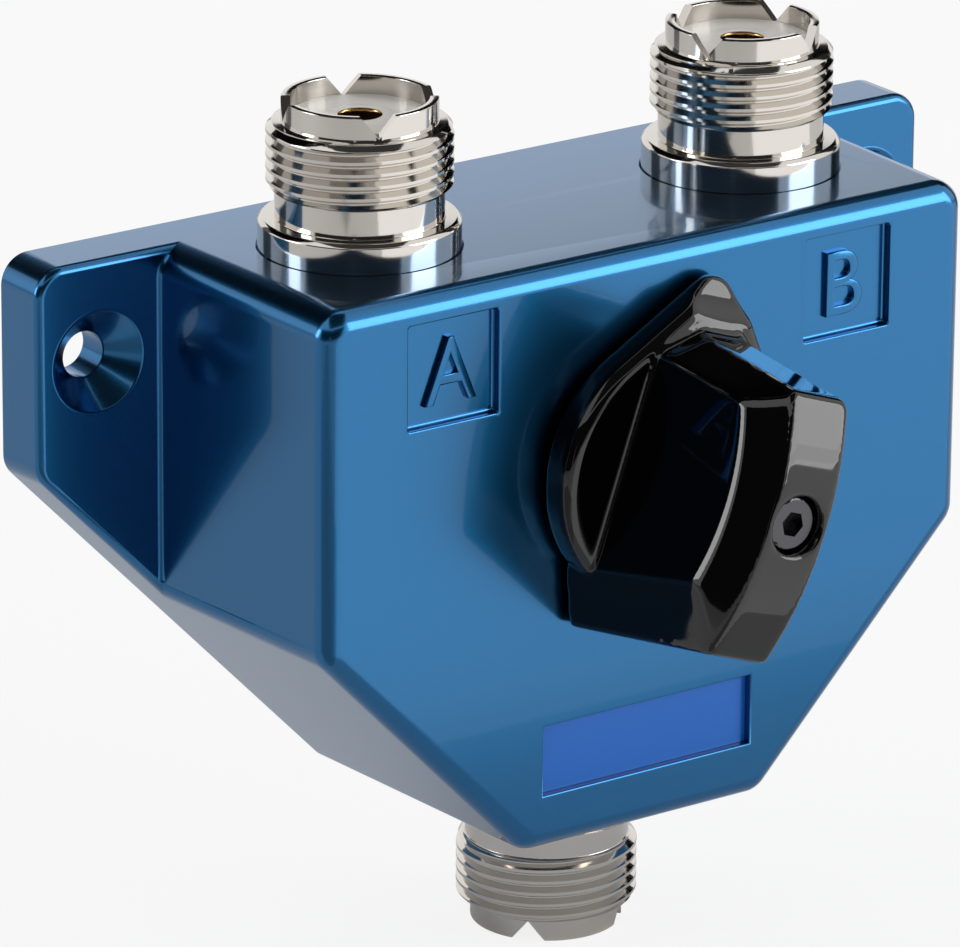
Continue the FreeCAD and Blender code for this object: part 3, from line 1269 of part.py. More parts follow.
def make_knob():
    """Knob: a round skirt drawn out into a pointer, with the grip bar across it."""
    body = new_body("knob")
    skirt = new_sketch(body, "skirt_circle", "XY_Plane", "Sizes.knob_gap")
    circle(skirt, "Sizes.skirt_width")
    height = "Sizes.skirt_height - Sizes.knob_gap"
    pad(body, skirt, height, "skirt")
    big, small = "(Sizes.skirt_width / 2)", "(Sizes.tip_width / 2)"
    centre = f"(Sizes.tip_reach - {small})"
    lean = f"(({big} - {small}) / {centre})"
    spread = f"sqrt(1 - {lean}^2)"
    pointer = new_sketch(body, "pointer_outline", "XY_Plane", "Sizes.knob_gap")
    outline(pointer, mirrored([(f"{small} * {spread}", f"{centre} + {small} * {lean}"),
                               (f"{big} * {spread}", f"{big} * {lean}")]))
    pad(body, pointer, height, "pointer")
    tip = new_sketch(body, "tip_circle", "XY_Plane", "Sizes.knob_gap")
    circle(tip, "Sizes.tip_width", "0", centre)
    plate = pad(body, tip, height, "pointer_tip")
    top = size("skirt_height")
    rim = edges_of(plate, lambda start, end: abs(start.z - top) < 0.001 and abs(end.z - top) < 0.001)
    fillet(body, plate, rim, "Sizes.skirt_round", "skirt_rim")

    fused = body.newObject("PartDesign::Boolean", "with_bar")
    fused.Type = "Fuse"
    fused.setObjects([make_bar()])
    fused.Refine = True
    document.recompute()

    def crosses(up, height):
        """A test for edges that run straight across the knob near a point of its side view."""
        def test(start, end):
            level = abs(start.z - height) < 0.01 and abs(end.z - height) < 0.01
            return level and abs(start.y - end.y) < 0.01 and start.y > up and abs(start.x - end.x) > 1
        return test

    at_foot = edges_of(fused, crosses(size("nose_foot") - 1, top))
    fillet(body, fused, at_foot, "Sizes.nose_sweep", "nose_sweep")
    nose = new_sketch(body, "nose_profile", "YZ_Plane")
    bend = "(Sizes.nose_height + (Sizes.tip_reach - Sizes.nose_bend) * tan(Sizes.nose_slope))"
    steep = f"((Sizes.skirt_height + Sizes.crease_rise - {bend}) / (Sizes.nose_bend - Sizes.nose_crease))"
    outline(nose, [
        ("Sizes.nose_crease - 1", f"Sizes.skirt_height + Sizes.crease_rise + {steep}"),
        ("Sizes.nose_bend", bend), ("Sizes.tip_reach + 1", "Sizes.nose_height - tan(Sizes.nose_slope)"),
        ("Sizes.tip_reach + 1", "Sizes.skirt_height * 2")])
    cut = pocket(body, nose, "nose", "Sizes.skirt_width", midplane=True)
    tip_drop = (size("tip_reach") - size("nose_bend")) * math.tan(math.radians(size("nose_slope")))
    in_bend = edges_of(cut, crosses(size("nose_crease"), size("nose_height") + tip_drop))
    fillet(body, cut, in_bend, "Sizes.nose_hollow", "nose_hollow")
    recess = new_sketch(body, "recess_circle", "XY_Plane", "Sizes.knob_gap")
    circle(recess, "Sizes.knob_recess_width")
    pocket(body, recess, "recess", "Sizes.knob_recess", reverse=True)
    bore = new_sketch(body, "bore_section", "XY_Plane", "Sizes.knob_gap")
    double_flat(bore, "Sizes.shaft_width + 2 * Sizes.fit_gap", "Sizes.knob_flats + 2 * Sizes.fit_gap")
    pocket(body, bore, "bore", "Sizes.bore_depth - Sizes.knob_gap", reverse=True)
    mouth = new_sketch(body, "bore_mouth", "XY_Plane", "Sizes.knob_gap")
    circle(mouth, "Sizes.shaft_width + 2 * Sizes.fit_gap")
    pocket(body, mouth, "round_bore", f"{FLATS_START} + 0.1 - Sizes.knob_gap", reverse=True)
    seat = new_sketch(body, "counterbore_circle", "XY_Plane", "Sizes.knob_height + 1")
    circle(seat, "Sizes.counterbore_width")
    pocket(body, seat, "counterbore", "Sizes.knob_height + 1 - Sizes.bore_depth - Sizes.knob_web")
    hole = new_sketch(body, "screw_circle", "XY_Plane", "Sizes.knob_height + 1")
    circle(hole, "Sizes.knob_screw_width + Sizes.screw_clearance")
    pocket(body, hole, "screw_hole", "Sizes.knob_height + 1 - Sizes.bore_depth + Sizes.screw_clearance")
    on_shaft(body)
    return keep(body, "knob")


def make_knob_screw():
    """Socket-head screw that pulls the knob onto the end of the shaft."""
    body = new_body("knob_screw")
    shank, head = "Sizes.knob_screw_width / 2", "Sizes.knob_screw_head / 2"
    seat = "(Sizes.bore_depth + Sizes.knob_web)"
    top = f"({seat} + Sizes.knob_screw_head_height)"
    tip = f"({seat} - Sizes.knob_screw_length)"
    revolve(body, [("0", tip), (f"{shank} - 0.3", tip), (shank, f"{tip} + 0.3"), (shank, seat), (head, seat),
                   (head, f"{top} - 0.2"), (f"{head} - 0.2", top), ("0", top)], "turned_screw")
    socket = new_sketch(body, "hex_outline", "XY_Plane", top)
    across = "Sizes.knob_screw_hex / 2"
    corner = f"({across} / cos(30))"
    outline(socket, [(f"{corner}", "0"), (f"{corner} / 2", minus(across)), (f"-{corner} / 2", minus(across)),
                     (minus(corner), "0"), (f"-{corner} / 2", across), (f"{corner} / 2", across)])
    pocket(body, socket, "hex_socket", "1.3")
    on_shaft(body)
    return keep(body, "knob_screw")


# ---------------------------------------------------------------- build, check and write


make_housing()
make_label_plate()
make_back_cover()
make_cover_screws()
for port_name, port_x, port_z, port_turn, port_roll in PORTS:
    make_shell(port_name, port_x, port_z, port_turn, port_roll)
    make_insulator(port_name, port_x, port_z, port_roll)
    make_contact(port_name, port_x, port_z, port_roll)
make_nuts()
make_side_fork("port_a", minus(PORT_X), 0.0)
make_side_fork("port_b", PORT_X, 180.0)
make_common_fork()
make_rivets()
make_shaft()
make_bush()
make_washer()
make_retaining_ring()
make_detent_plate()
make_detent_ball()
make_detent_spring()
make_stop_pin()
make_ground_wiper()
make_hub()
make_hub_pin()
make_blade()
make_blade_clamp()
make_blade_screws()
make_knob()
make_knob_screw()
document.recompute()

for entry in document.Objects:
    if "Invalid" in entry.State or "Error" in entry.State:
        raise RuntimeError(f"{entry.Name} is {entry.State}")
os.makedirs("parts", exist_ok=True)
for piece in parts:
    if piece.Shape.isNull() or not piece.Shape.isValid():
        raise RuntimeError(f"{piece.Label} has no valid shape")
    piece.Shape.exportStep(f"parts/{piece.Label}.step")
    print(f"{piece.Label}: {len(piece.Shape.Solids)} solid(s), {piece.Shape.Volume:.1f} mm3")
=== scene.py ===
"""Coaxial antenna switch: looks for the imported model, laid out as a Blender add-on."""

import json
import math

import bpy
from mathutils import Matrix, Vector

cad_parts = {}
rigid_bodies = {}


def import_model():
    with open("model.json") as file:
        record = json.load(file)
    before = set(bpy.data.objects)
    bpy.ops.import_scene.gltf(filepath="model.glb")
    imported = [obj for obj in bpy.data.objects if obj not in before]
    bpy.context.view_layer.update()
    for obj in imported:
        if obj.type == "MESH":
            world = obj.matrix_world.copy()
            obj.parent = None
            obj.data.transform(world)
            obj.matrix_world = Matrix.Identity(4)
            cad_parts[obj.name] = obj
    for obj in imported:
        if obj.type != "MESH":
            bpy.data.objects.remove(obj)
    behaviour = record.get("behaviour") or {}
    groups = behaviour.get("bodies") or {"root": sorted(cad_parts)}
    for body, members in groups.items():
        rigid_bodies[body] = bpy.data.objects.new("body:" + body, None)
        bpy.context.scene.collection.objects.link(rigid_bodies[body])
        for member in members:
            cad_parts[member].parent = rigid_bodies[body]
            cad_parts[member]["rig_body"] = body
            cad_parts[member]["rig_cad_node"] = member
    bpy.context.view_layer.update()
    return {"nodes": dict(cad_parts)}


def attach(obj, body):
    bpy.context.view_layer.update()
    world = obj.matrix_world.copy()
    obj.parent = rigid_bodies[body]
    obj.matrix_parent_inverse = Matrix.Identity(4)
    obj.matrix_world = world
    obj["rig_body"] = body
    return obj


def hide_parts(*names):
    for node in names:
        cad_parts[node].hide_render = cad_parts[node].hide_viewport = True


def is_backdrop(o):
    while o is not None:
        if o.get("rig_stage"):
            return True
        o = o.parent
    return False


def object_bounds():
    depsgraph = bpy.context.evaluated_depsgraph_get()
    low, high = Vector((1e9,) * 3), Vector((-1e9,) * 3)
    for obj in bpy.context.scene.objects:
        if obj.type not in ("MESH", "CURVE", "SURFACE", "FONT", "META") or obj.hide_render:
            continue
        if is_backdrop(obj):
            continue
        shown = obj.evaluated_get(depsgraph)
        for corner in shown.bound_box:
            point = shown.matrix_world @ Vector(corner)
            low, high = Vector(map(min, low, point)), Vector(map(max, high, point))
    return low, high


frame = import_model()

bl_info = {
    "name": "Coaxial antenna switch",
    "version": (1, 0, 0),
    "blender": (4, 5, 0),
    "location": "3D View > Sidebar > Antenna Switch",
    "description": "Shapes and finishes of a two-way coaxial antenna switch",
    "category": "Object",
}

MM = 0.001
# edges shallower than the first are shaded smooth, faces flatter than the second are joined
SMOOTH_BELOW = math.radians(32)
FLAT_BELOW = math.radians(0.5)
# points closer than this are one point, in a copy of a CAD node and in a drawn shape
COPY_MERGE = 0.002 * MM
DRAWN_MERGE = 0.001 * MM
# faces round a turned piece
TURNING_STEPS = 96

# where the three sockets stand: axis across, height of the housing face, upright or hanging
# in degrees, and the turn of the rim's notches
SOCKET_DEPTH = -14.3
SOCKET_SPACING = 40.2
HOUSING_TOP = 8.9
HOUSING_FOOT = -43.4
SOCKETS = (
    ("port_a", -SOCKET_SPACING / 2, HOUSING_TOP, 0.0, -21.0),
    ("port_b", SOCKET_SPACING / 2, HOUSING_TOP, 0.0, 24.5),
    ("common", 0.0, HOUSING_FOOT, 180.0, 40.5),
)
KNOB_AXIS = (0.0, -28.9, -10.1)


# ---------------------------------------------------------------- colours and nodes


def linear(code):
    """An sRGB hex colour as linear red, green and blue."""
    shares = [int(code[at:at + 2], 16) / 255 for at in (1, 3, 5)]
    return tuple(share / 12.92 if share <= 0.04045 else ((share + 0.055) / 1.055) ** 2.4
                 for share in shares)


def opaque(colour):
    """A colour as the four values of a shader's socket."""
    return (*colour, 1.0)


def add_node(tree, kind, values=None, links=None, **settings):
    """Add a node, set it up, give its sockets their values and link what feeds them."""
    node = tree.nodes.new(kind)
    for name, setting in settings.items():
        setattr(node, name, setting)
    for socket, value in (values or {}).items():
        node.inputs[socket].default_value = value
    for socket, source in (links or {}).items():
        tree.links.new(source, node.inputs[socket])
    return node


def new_material(name):
    """An empty node material with its output, returned with the tree."""
    material = bpy.data.materials.new(name)
    material.use_nodes = True
    material.node_tree.nodes.clear()
    return material, material.node_tree


def dress(piece, material):
    """Give a piece one finish all over."""
    piece.data.materials.clear()
    piece.data.materials.append(material)


# ---------------------------------------------------------------- selecting and shaping


def only(piece):
    """Select one object and make it the active one."""
    bpy.ops.object.select_all(action="DESELECT")
    piece.select_set(True)
    bpy.context.view_layer.objects.active = piece


def within(place, region):
    """Whether a point lies in a region, which is its ranges across, along and up."""
    return all(low < value < high for value, (low, high) in zip(place, region))


def edit(piece, test):
    """Open a piece for editing with only the vertices whose place passes a test selected."""
    only(piece)
    bpy.ops.object.mode_set(mode="EDIT")
    bpy.ops.mesh.select_mode(type="VERT")
    bpy.ops.mesh.select_all(action="DESELECT")
    bpy.ops.object.mode_set(mode="OBJECT")
    for vertex in piece.data.vertices:
        vertex.select = test(vertex.co)
    bpy.ops.object.mode_set(mode="EDIT")


def apply_modifier(piece, kind, name, **settings):
    """Add a modifier, set it up and apply it."""
    only(piece)
    modifier = piece.modifiers.new(name, kind)
    for setting, value in settings.items():
        setattr(modifier, setting, value)
    bpy.ops.object.modifier_apply(modifier=modifier.name)


def merged_copy(node, name, body):
    """A copy of a CAD node with its loose triangles joined, which stands for the node."""
    only(frame["nodes"][node])
    bpy.ops.object.duplicate()
    piece = bpy.context.view_layer.objects.active
    piece.name = name
    piece.data.name = name
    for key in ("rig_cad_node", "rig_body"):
        del piece[key]
    piece.parent = None
    bpy.ops.object.mode_set(mode="EDIT")
    bpy.ops.mesh.select_all(action="SELECT")
    bpy.ops.mesh.remove_doubles(threshold=COPY_MERGE)
    bpy.ops.mesh.dissolve_limited(angle_limit=FLAT_BELOW)
    bpy.ops.object.mode_set(mode="OBJECT")
    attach(piece, body)
    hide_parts(node)
    return piece


def smooth(piece, angle=SMOOTH_BELOW, crease=None, weight=50):
    """Shade shallow edges smooth and keep flat faces flat and a crease sharp to its end."""
    only(piece)
    bpy.ops.object.shade_smooth_by_angle(angle=angle)
    if crease:
        edit(piece, crease)
        bpy.ops.mesh.select_mode(type="EDGE")
        bpy.ops.mesh.mark_sharp()
        bpy.ops.mesh.select_mode(type="VERT")
        bpy.ops.object.mode_set(mode="OBJECT")
    apply_modifier(piece, "WEIGHTED_NORMAL", "flat_faces", mode="FACE_AREA_WITH_ANGLE",
                   keep_sharp=True, weight=weight)


def drawn_line(name, points):
    """An open line of edges, drawn by extruding one vertex from point to point. The points
    are given as distance from the z axis and height, in millimetres."""
    bpy.ops.object.select_all(action="DESELECT")
    bpy.ops.mesh.primitive_plane_add(size=MM)
    line = bpy.context.view_layer.objects.active
    line.name = name
    line.data.name = name
    bpy.ops.object.mode_set(mode="EDIT")
    bpy.ops.mesh.merge(type="CENTER")
    bpy.ops.transform.translate(value=(points[0][0] * MM, 0, points[0][1] * MM))
    for (out, up), (next_out, next_up) in zip(points, points[1:]):
        step = ((next_out - out) * MM, 0, (next_up - up) * MM)
        bpy.ops.mesh.extrude_vertices_move(TRANSFORM_OT_translate={"value": step})
    bpy.ops.object.mode_set(mode="OBJECT")
    return line


def turned(name, section, steps=TURNING_STEPS, rounding=0.1):
    """A solid turned from a closed section, its corners broken as on a lathe."""
    piece = drawn_line(name, (*section, section[0]))
    bpy.ops.object.mode_set(mode="EDIT")
    bpy.ops.mesh.select_all(action="SELECT")
    bpy.ops.mesh.remove_doubles(threshold=DRAWN_MERGE)
    if rounding:
        bpy.ops.mesh.bevel(affect="VERTICES", offset=rounding * MM, segments=2)
    bpy.ops.mesh.select_all(action="SELECT")
    bpy.ops.mesh.spin(steps=steps, angle=math.tau, center=(0, 0, 0), axis=(0, 0, 1))
    bpy.ops.mesh.select_all(action="SELECT")
    bpy.ops.mesh.remove_doubles(threshold=DRAWN_MERGE)
    bpy.ops.mesh.normals_make_consistent(inside=False)
    bpy.ops.object.mode_set(mode="OBJECT")
    return piece


def carve(piece, cutter):
    """Take a cutter's shape out of a piece, and the cutter away."""
    apply_modifier(piece, "BOOLEAN", "cut", object=cutter, operation="DIFFERENCE", solver="EXACT")
    bpy.data.objects.remove(cutter)


def place_in_mesh(piece):
    """Put an object's place into its mesh, so that it sits at the origin."""
    only(piece)
    bpy.ops.object.transform_apply(location=True, rotation=True, scale=True)


# ---------------------------------------------------------------- finishes


def lacquer(settings):
    """Metallic lacquer on a zinc casting, sprayed: fine flakes under a clear coat that has
    a very slight ripple."""
    material, tree = new_material("metallic_lacquer")
    place = add_node(tree, "ShaderNodeTexCoord").outputs["Object"]
    # flakes are about 0.03 mm; drawn at 0.12 mm so that they show as a fine grain
    flakes = add_node(tree, "ShaderNodeTexNoise", {"Scale": 1 / (0.12 * MM), "Detail": 2.0},
                      {"Vector": place})
    tint = add_node(tree, "ShaderNodeMix",
                    {"A": opaque(settings.flake_dark), "B": opaque(settings.flake_light)},
                    {"Factor": flakes.outputs["Fac"]}, data_type="RGBA")
    # spray ripple, about 1.5 mm from crest to crest
    ripple = add_node(tree, "ShaderNodeTexNoise", {"Scale": 1 / (1.5 * MM), "Detail": 1.0},
                      {"Vector": place})
    bump = add_node(tree, "ShaderNodeBump", {"Strength": 0.05, "Distance": 0.02 * MM},
                    {"Height": ripple.outputs["Fac"]})
    shader = add_node(tree, "ShaderNodeBsdfPrincipled",
                      {"Metallic": 1.0, "Roughness": 0.23, "Coat Weight": 0.6,
                       "Coat Roughness": 0.04},
                      {"Base Color": tint.outputs[2], "Coat Normal": bump.outputs["Normal"]})
    add_node(tree, "ShaderNodeOutputMaterial", links={"Surface": shader.outputs["BSDF"]})
    return material


def turned_metal(name, colour, roughness, centre=None, mark=0.05):
    """A turned metal part: fine rings round its axis, left by the tool."""
    material, tree = new_material(name)
    place = add_node(tree, "ShaderNodeTexCoord").outputs["Object"]
    if centre is not None:
        shift = [-value * MM for value in centre]
        place = add_node(tree, "ShaderNodeMapping", {"Location": shift},
                         {"Vector": place}).outputs["Vector"]
    axes = add_node(tree, "ShaderNodeSeparateXYZ", links={"Vector": place})
    flat = add_node(tree, "ShaderNodeCombineXYZ",
                    links={"X": axes.outputs["X"], "Y": axes.outputs["Y"]})
    radius = add_node(tree, "ShaderNodeVectorMath", links={0: flat.outputs["Vector"]},
                      operation="LENGTH")
    rings = add_node(tree, "ShaderNodeCombineXYZ",
                     links={"X": radius.outputs["Value"], "Y": axes.outputs["Z"]})
    # tool marks 0.05 mm apart unless told otherwise
    marks = add_node(tree, "ShaderNodeTexNoise", {"Scale": 1 / (mark * MM), "Detail": 2.0},
                     {"Vector": rings.outputs["Vector"]})
    bump = add_node(tree, "ShaderNodeBump", {"Strength": 0.08, "Distance": 0.005 * MM},
                    {"Height": marks.outputs["Fac"]})
    shader = add_node(tree, "ShaderNodeBsdfPrincipled",
                      {"Base Color": opaque(colour), "Metallic": 1.0, "Roughness": roughness},
                      {"Normal": bump.outputs["Normal"]})
    add_node(tree, "ShaderNodeOutputMaterial", links={"Surface": shader.outputs["BSDF"]})
    return material


def grained_metal(name, colour, roughness, grain, stretch=(1.0, 1.0, 1.0)):
    """Sheet, plated or turned metal whose grain, in millimetres, varies its gloss a little."""
    material, tree = new_material(name)
    place = add_node(tree, "ShaderNodeTexCoord").outputs["Object"]
    along = add_node(tree, "ShaderNodeMapping", {"Scale": stretch}, {"Vector": place})
    noise = add_node(tree, "ShaderNodeTexNoise", {"Scale": 1 / (grain * MM), "Detail": 3.0},
                     {"Vector": along.outputs["Vector"]})
    gloss = add_node(tree, "ShaderNodeMapRange",
                     {"To Min": roughness * 0.8, "To Max": roughness * 1.25},
                     {"Value": noise.outputs["Fac"]})
    bump = add_node(tree, "ShaderNodeBump", {"Strength": 0.15, "Distance": 0.01 * MM},
                    {"Height": noise.outputs["Fac"]})
    shader = add_node(tree, "ShaderNodeBsdfPrincipled",
                      {"Base Color": opaque(colour), "Metallic": 1.0},
                      {"Roughness": gloss.outputs["Result"], "Normal": bump.outputs["Normal"]})
    add_node(tree, "ShaderNodeOutputMaterial", links={"Surface": shader.outputs["BSDF"]})
    return material


def plastic(name, colour, roughness, grain, depth=0.01, strength=0.1, ior=1.5):
    """Moulded or painted surface: an even colour with a faint texture, its grain and depth
    in millimetres."""
    material, tree = new_material(name)
    place = add_node(tree, "ShaderNodeTexCoord").outputs["Object"]
    noise = add_node(tree, "ShaderNodeTexNoise", {"Scale": 1 / (grain * MM), "Detail": 2.0},
                     {"Vector": place})
    gloss = add_node(tree, "ShaderNodeMapRange",
                     {"To Min": roughness * 0.8, "To Max": roughness * 1.3},
                     {"Value": noise.outputs["Fac"]})
    bump = add_node(tree, "ShaderNodeBump", {"Strength": strength, "Distance": depth * MM},
                    {"Height": noise.outputs["Fac"]})
    shader = add_node(tree, "ShaderNodeBsdfPrincipled",
                      {"Base Color": opaque(colour), "IOR": ior},
                      {"Roughness": gloss.outputs["Result"], "Normal": bump.outputs["Normal"]})
    add_node(tree, "ShaderNodeOutputMaterial", links={"Surface": shader.outputs["BSDF"]})
    return material


# ---------------------------------------------------------------- settings


def colour_setting(name, description, code):
    """A colour that a user can change, with its default as sRGB hex."""
    return bpy.props.FloatVectorProperty(
        name=name, description=description, default=linear(code), size=3, min=0.0, max=1.0,
        subtype="COLOR")


class HousingSettings(bpy.types.PropertyGroup):
    """Lacquer, label plate and letters of the housing"""

    flake_dark: colour_setting("Dark flakes", "Darkest tone of the metallic lacquer", "#1a6295")
    flake_light: colour_setting("Light flakes", "Lightest tone of the metallic lacquer", "#2271a6")
    plate: colour_setting("Label plate", "Colour of the bare label plate", "#0a66c6")
    letter_height: bpy.props.FloatProperty(
        name="Letter height", description="Height of the cast letters A and B", default=5.8 * MM,
        min=2 * MM, max=8 * MM, unit="LENGTH", precision=5)
    letter_relief: bpy.props.FloatProperty(
        name="Letter relief", description="How far the letters stand out of their squares",
        default=0.5 * MM, min=0.1 * MM, max=0.8 * MM, unit="LENGTH", precision=5)


class SocketSettings(bpy.types.PropertyGroup):
    """Plating, dielectric and thread of the three sockets"""

    nickel: colour_setting("Nickel", "Plating of the socket shells", "#d6d1ca")
    gold: colour_setting("Gold", "Plating of the centre contacts", "#dcb46c")
    dielectric: colour_setting("Dielectric", "Plastic between shell and contact", "#ece8e2")
    pitch: bpy.props.FloatProperty(
        name="Thread pitch", description="Distance between threads, 24 to the inch",
        default=25.4 / 24 * MM, min=0.5 * MM, max=2 * MM, unit="LENGTH", precision=5)
    thread_depth: bpy.props.FloatProperty(
        name="Thread depth", description="Depth of the thread from crest to root",
        default=0.6 * MM, min=0.2 * MM, max=0.8 * MM, unit="LENGTH", precision=5)


class KnobSettings(bpy.types.PropertyGroup):
    """Colours and edges of the knob and its screw"""

    plastic: colour_setting("Knob", "Colour of the knob's plastic", "#040405")
    screw: colour_setting("Knob screw", "Black oxide of the knob screw", "#565659")
    softness: bpy.props.FloatProperty(
        name="Edge softness", description="Size of the faces that the knob's edges are rounded by",
        default=0.2 * MM, min=0.18 * MM, max=0.5 * MM, unit="LENGTH", precision=5)


class StageSettings(bpy.types.PropertyGroup):
    """Floor and even light of the stage"""

    floor: colour_setting("Floor", "Colour of the floor", "#f4f4f4")
    daylight: bpy.props.FloatProperty(
        name="World light", description="Strength of the even light from all round", default=0.45,
        min=0.0, max=2.0)


# ---------------------------------------------------------------- pieces


class SWITCH_OT_housing(bpy.types.Operator):
    """Lacquered housing with the cast radius at its ears and the holes through them"""

    bl_idname = "switch.housing"
    bl_label = "Housing"

    # all in millimetres: front of the ears, where the side wall meets them, the cast radius
    # there, and how deep its strip is sunk into wall and ear
    ear_front = 5.6
    wall_foot = 34.44
    root_radius = 0.45
    root_bite = 0.1
    # the line of the ear's root: how far it runs in from the wall's foot, and its height
    root_line = ((0, -20.8), (0, 6.3), (0.03, 6.69), (0.12, 7.07), (0.26, 7.43), (0.45, 7.76),
                 (0.63, 7.99), (0.83, 8.2))
    # the upper end of the line where wall and ear meet
    root_end = ((31.8, 34.5), (-5.65, -4.85), (6.2, 8.95))
    # the low inner corner of the square round the letter A
    lined_corner = ((-16.95, -15.95), (-28.72, -27.9), (-2.85, -1.85))
    # how far out the ear holes are, and the half section of a lined one: sink, bore and the
    # wall behind them
    ear_hole = 40.7
    sink_section = ((4.42, 0.01), (2.0, -2.41), (2.0, -5.59), (2.8, -5.59), (2.8, -2.9),
                    (4.75, -0.9), (4.75, 0.01))
    sink_edge = 0.12

    def at_root_end(self, place):
        """Whether a point is on the upper end of an ear's root, left or right."""
        across, along, up = place / MM
        return within((abs(across), along, up), self.root_end)

    def root(self, name, side):
        """The cast radius in the corner between an ear and the side wall."""
        arc = [(self.wall_foot + self.root_radius * (1 - math.cos(math.radians(turn))),
                self.ear_front + self.root_radius * (1 - math.sin(math.radians(turn))))
               for turn in range(0, 91, 15)]
        corner = (self.wall_foot - self.root_bite, self.ear_front - self.root_bite)
        corners = (corner, (corner[0], arc[0][1]), *arc, (arc[-1][0], corner[1]), corner)
        piece = drawn_line(f"{name}_ear_root", corners)
        bpy.ops.object.mode_set(mode="EDIT")
        bpy.ops.mesh.select_all(action="SELECT")
        bpy.ops.mesh.remove_doubles(threshold=DRAWN_MERGE)
        bpy.ops.object.mode_set(mode="OBJECT")
        piece.rotation_euler = (math.pi / 2, 0, 0)
        place_in_mesh(piece)
        bpy.ops.object.mode_set(mode="EDIT")
        bpy.ops.mesh.select_all(action="SELECT")
        bpy.ops.transform.translate(value=(0, 0, self.root_line[0][1] * MM))
        bpy.ops.mesh.edge_face_add()
        for (inward, up), (next_inward, next_up) in zip(self.root_line, self.root_line[1:]):
            step = ((inward - next_inward) * MM, 0, (next_up - up) * MM)
            bpy.ops.mesh.extrude_region_move(TRANSFORM_OT_translate={"value": step})
        bpy.ops.object.mode_set(mode="OBJECT")
        piece.scale = (side, 1, 1)
        place_in_mesh(piece)
        bpy.ops.object.mode_set(mode="EDIT")
        bpy.ops.mesh.select_all(action="SELECT")
        bpy.ops.mesh.normals_make_consistent(inside=False)
        bpy.ops.object.mode_set(mode="OBJECT")
        return piece

    def sink(self, name, side):
        """The countersunk hole of an ear, with its broken edge."""
        piece = turned(f"{name}_ear_hole", self.sink_section, rounding=self.sink_edge)
        piece.rotation_euler = (math.pi / 2, 0, 0)
        piece.location = (side * self.ear_hole * MM, -self.ear_front * MM, 0)
        place_in_mesh(piece)
        return piece

    def execute(self, context):
        settings = context.scene.switch_housing
        finish = lacquer(settings)
        piece = merged_copy("housing", "cast_housing", "body")
        # a stray round face lies across this corner, and the square's lining covers the rest
        edit(piece, lambda place: within(place / MM, self.lined_corner))
        bpy.ops.mesh.delete(type="FACE")
        bpy.ops.object.mode_set(mode="OBJECT")
        smooth(piece, crease=self.at_root_end, weight=100)
        dress(piece, finish)
        for side, name in ((-1, "left"), (1, "right")):
            for piece in (self.root(name, side), self.sink(name, side)):
                smooth(piece)
                dress(piece, finish)
                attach(piece, "body")
        return {"FINISHED"}


